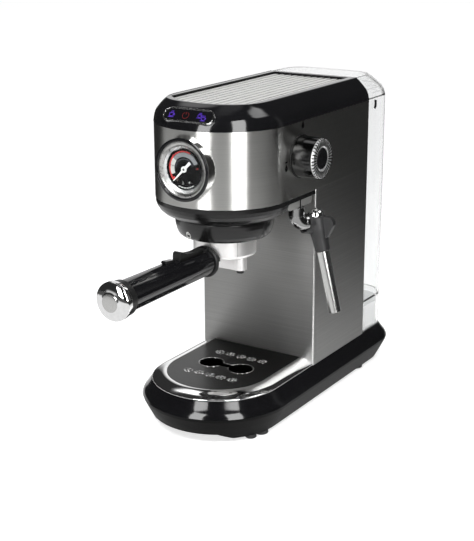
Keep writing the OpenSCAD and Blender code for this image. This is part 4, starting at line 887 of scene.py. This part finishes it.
def world():
    sky = bpy.data.worlds.new("studio")
    sky.use_nodes = True
    tree = sky.node_tree
    fill = tree.nodes["Background"]
    fill.inputs["Color"].default_value = (1, 1, 1, 1)
    fill.inputs["Strength"].default_value = AMBIENT
    white = add(tree, "ShaderNodeBackground")
    both = add(tree, "ShaderNodeMixShader")
    tree.links.new(seen_directly(tree), both.inputs["Fac"])
    tree.links.new(fill.outputs["Background"], both.inputs[1])
    tree.links.new(white.outputs["Background"], both.inputs[2])
    tree.links.new(both.outputs["Shader"], tree.nodes["World Output"].inputs["Surface"])
    bpy.context.scene.world = sky


def grid_object(name, rows, material):
    """A mesh from rows of (point, grey), with the grey kept as a point attribute."""
    mesh = bpy.data.meshes.new(name)
    points = [p for row in rows for p, _ in row]
    width = len(rows[0])
    faces = []
    for j in range(len(rows) - 1):
        for i in range(width - 1):
            a = j * width + i
            faces.append((a, a + 1, a + 1 + width, a + width))
    mesh.from_pydata(points, [], faces)
    level = mesh.attributes.new("level", "FLOAT", "POINT")
    level.data.foreach_set("value", [g for row in rows for _, g in row])
    made = bpy.data.objects.new(name, mesh)
    bpy.context.scene.collection.objects.link(made)
    mesh.materials.append(material)
    return made


def only_in_reflections(made):
    made.visible_camera = False
    made.visible_diffuse = False
    made.visible_transmission = False
    made.visible_volume_scatter = False
    made.visible_shadow = False


def flag_material():
    material = bpy.data.materials.new("studio_flags")
    material.use_nodes = True
    tree = material.node_tree
    tree.nodes.remove(tree.nodes["Principled BSDF"])
    level = add(tree, "ShaderNodeAttribute", {"attribute_name": "level"})
    glow = add(tree, "ShaderNodeEmission")
    tree.links.new(level.outputs["Fac"], glow.inputs["Strength"])
    tree.links.new(glow.outputs["Emission"], tree.nodes["Material Output"].inputs["Surface"])
    return material


def smooth(low, high, value):
    t = min(1.0, max(0.0, (value - low) / (high - low)))
    return t * t * (3 - 2 * t)


def apart(a, b):
    return abs((a - b + 180) % 360 - 180)


def within(low, high, value, blur):
    return smooth(low - blur, low + blur, value) * (1 - smooth(high - blur, high + blur, value))


def room_level(azimuth, elevation):
    """How bright the studio is in a direction."""
    level = ROOM_GREY
    for middle, half, low, high, bright in ROOM_PATCHES:
        side = 1 - smooth(half - PATCH_BLUR, half + PATCH_BLUR, apart(azimuth, middle))
        level += bright * side * within(low, high, elevation, PATCH_BLUR)
    return level


def room(material):
    rows = []
    for j in range(37):
        elevation = 90 * j / 36
        row = []
        for i in range(121):
            azimuth = 3 * i
            place = toward(azimuth, elevation) * DOME_RADIUS
            row.append(((place.x, place.y, max(0.004, place.z)), room_level(azimuth, elevation)))
        rows.append(row)
    only_in_reflections(grid_object("studio_room", rows, material))


def table_level(azimuth, radius):
    """White near the machine, grey far off, and dark sooner on the dark side."""
    reach = TABLE_FRONT
    far = TABLE_FAR
    for middle, half, blur, near in DARK_SIDES:
        side = 1 - smooth(half - blur, half + blur, apart(azimuth, middle))
        reach += (near - reach) * side
        far += (ROOM_GREY - far) * side
    fade = smooth(reach, reach + TABLE_FADE, radius)
    return 1 + (far - 1) * fade


def table_top(material):
    rows = []
    for j in range(31):
        radius = TABLE_START + (DOME_RADIUS - TABLE_START) * (j / 30) ** 2
        row = []
        for i in range(73):
            place = toward(5 * i, 0) * radius
            row.append(((place.x, place.y, 0.002), table_level(5 * i, radius)))
        rows.append(row)
    only_in_reflections(grid_object("studio_table", rows, material))


def floor():
    material = bpy.data.materials.new("studio_floor")
    material.use_nodes = True
    tree = material.node_tree
    shader = tree.nodes["Principled BSDF"]
    shader.inputs["Base Color"].default_value = (FLOOR_GREY, FLOOR_GREY, FLOOR_GREY, 1)
    shader.inputs["Roughness"].default_value = 0.9
    shader.inputs["Specular IOR Level"].default_value = 0.1
    glow = add(tree, "ShaderNodeEmission")
    level = add(tree, "ShaderNodeMath", {"operation": "MULTIPLY"})
    level.inputs[1].default_value = FLOOR_GLOW
    total = add(tree, "ShaderNodeAddShader")
    tree.links.new(seen_directly(tree), level.inputs[0])
    tree.links.new(level.outputs["Value"], glow.inputs["Strength"])
    tree.links.new(shader.outputs["BSDF"], total.inputs[0])
    tree.links.new(glow.outputs["Emission"], total.inputs[1])
    tree.links.new(total.outputs["Shader"], tree.nodes["Material Output"].inputs["Surface"])
    mesh = bpy.data.meshes.new("studio_floor")
    built = bmesh.new()
    bmesh.ops.create_circle(built, cap_ends=True, segments=96, radius=FLOOR_RADIUS)
    built.to_mesh(mesh)
    built.free()
    made = bpy.data.objects.new("studio_floor", mesh)
    bpy.context.scene.collection.objects.link(made)
    mesh.materials.append(material)


def studio():
    bpy.context.scene.view_settings.view_transform = "Standard"
    camera()
    world()
    floor()
    flags = flag_material()
    room(flags)
    table_top(flags)
    soft_box("key_box", *KEY_BOX).visible_glossy = False
    soft_box("side_box", *SIDE_BOX).visible_glossy = False
    strip_light("key_strip", *KEY_STRIP)
    strip_light("side_strip", *SIDE_STRIP)


def ink_set():
    return {
        "red": printed("ink_red", (0.34, 0.012, 0.01)),
        "white": printed("ink_white", (0.36, 0.37, 0.35)),
        "grey": printed("ink_grey", (0.13, 0.135, 0.14)),
        "slate": printed("ink_slate", (0.055, 0.058, 0.07)),
        # black is the dial tick's ink and also the painted shade of the needle's hole
        "black": printed("ink_and_hole_shade_black", (0.01, 0.01, 0.01)),
        # jet is the printed marks' ink and also the painted shade in the knob's slots
        "jet": printed("ink_and_slot_shade_jet", (0.002, 0.002, 0.002), 0.6, 0.0, 0.08),
        # pale: padlock print with a painted glow, since the collar holds no lamp
        "pale": printed("ink_pale_painted_glow", (0.8, 0.8, 0.78), 0.4, 0.15),
        "tan": printed("ink_tan", (0.25, 0.17, 0.13)),
        "blue": printed("light_blue", (0.07, 0.025, 0.36), 0.3, 0.3),
        "ember": printed("light_ember", (0.1, 0.008, 0.008), 0.3, 0.25),
    }


def corners(pair):
    return [list(pair[0]), list(pair[1])]


def main():
    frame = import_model()
    studio()
    table = finishes()
    dress(frame, table)
    inks = ink_set()
    dial_print(inks)
    dial_numbers(inks)
    needle_hub(inks)
    touch_icons(inks)
    lock_mark(frame, inks)
    knob_marks(frame, inks)
    knob_slot_shade(inks)
    cup_seams(frame, inks)
    cap_skin(table["gloss_black"])
    base_skin(table["gloss_black"])
    end_dome(metal("dome_chrome", (0.74, 0.74, 0.74), 0.05, 300, 0.000001, 0.0))
    band_skin(table["chrome"])
    drip_rims(table["chrome"])


main()
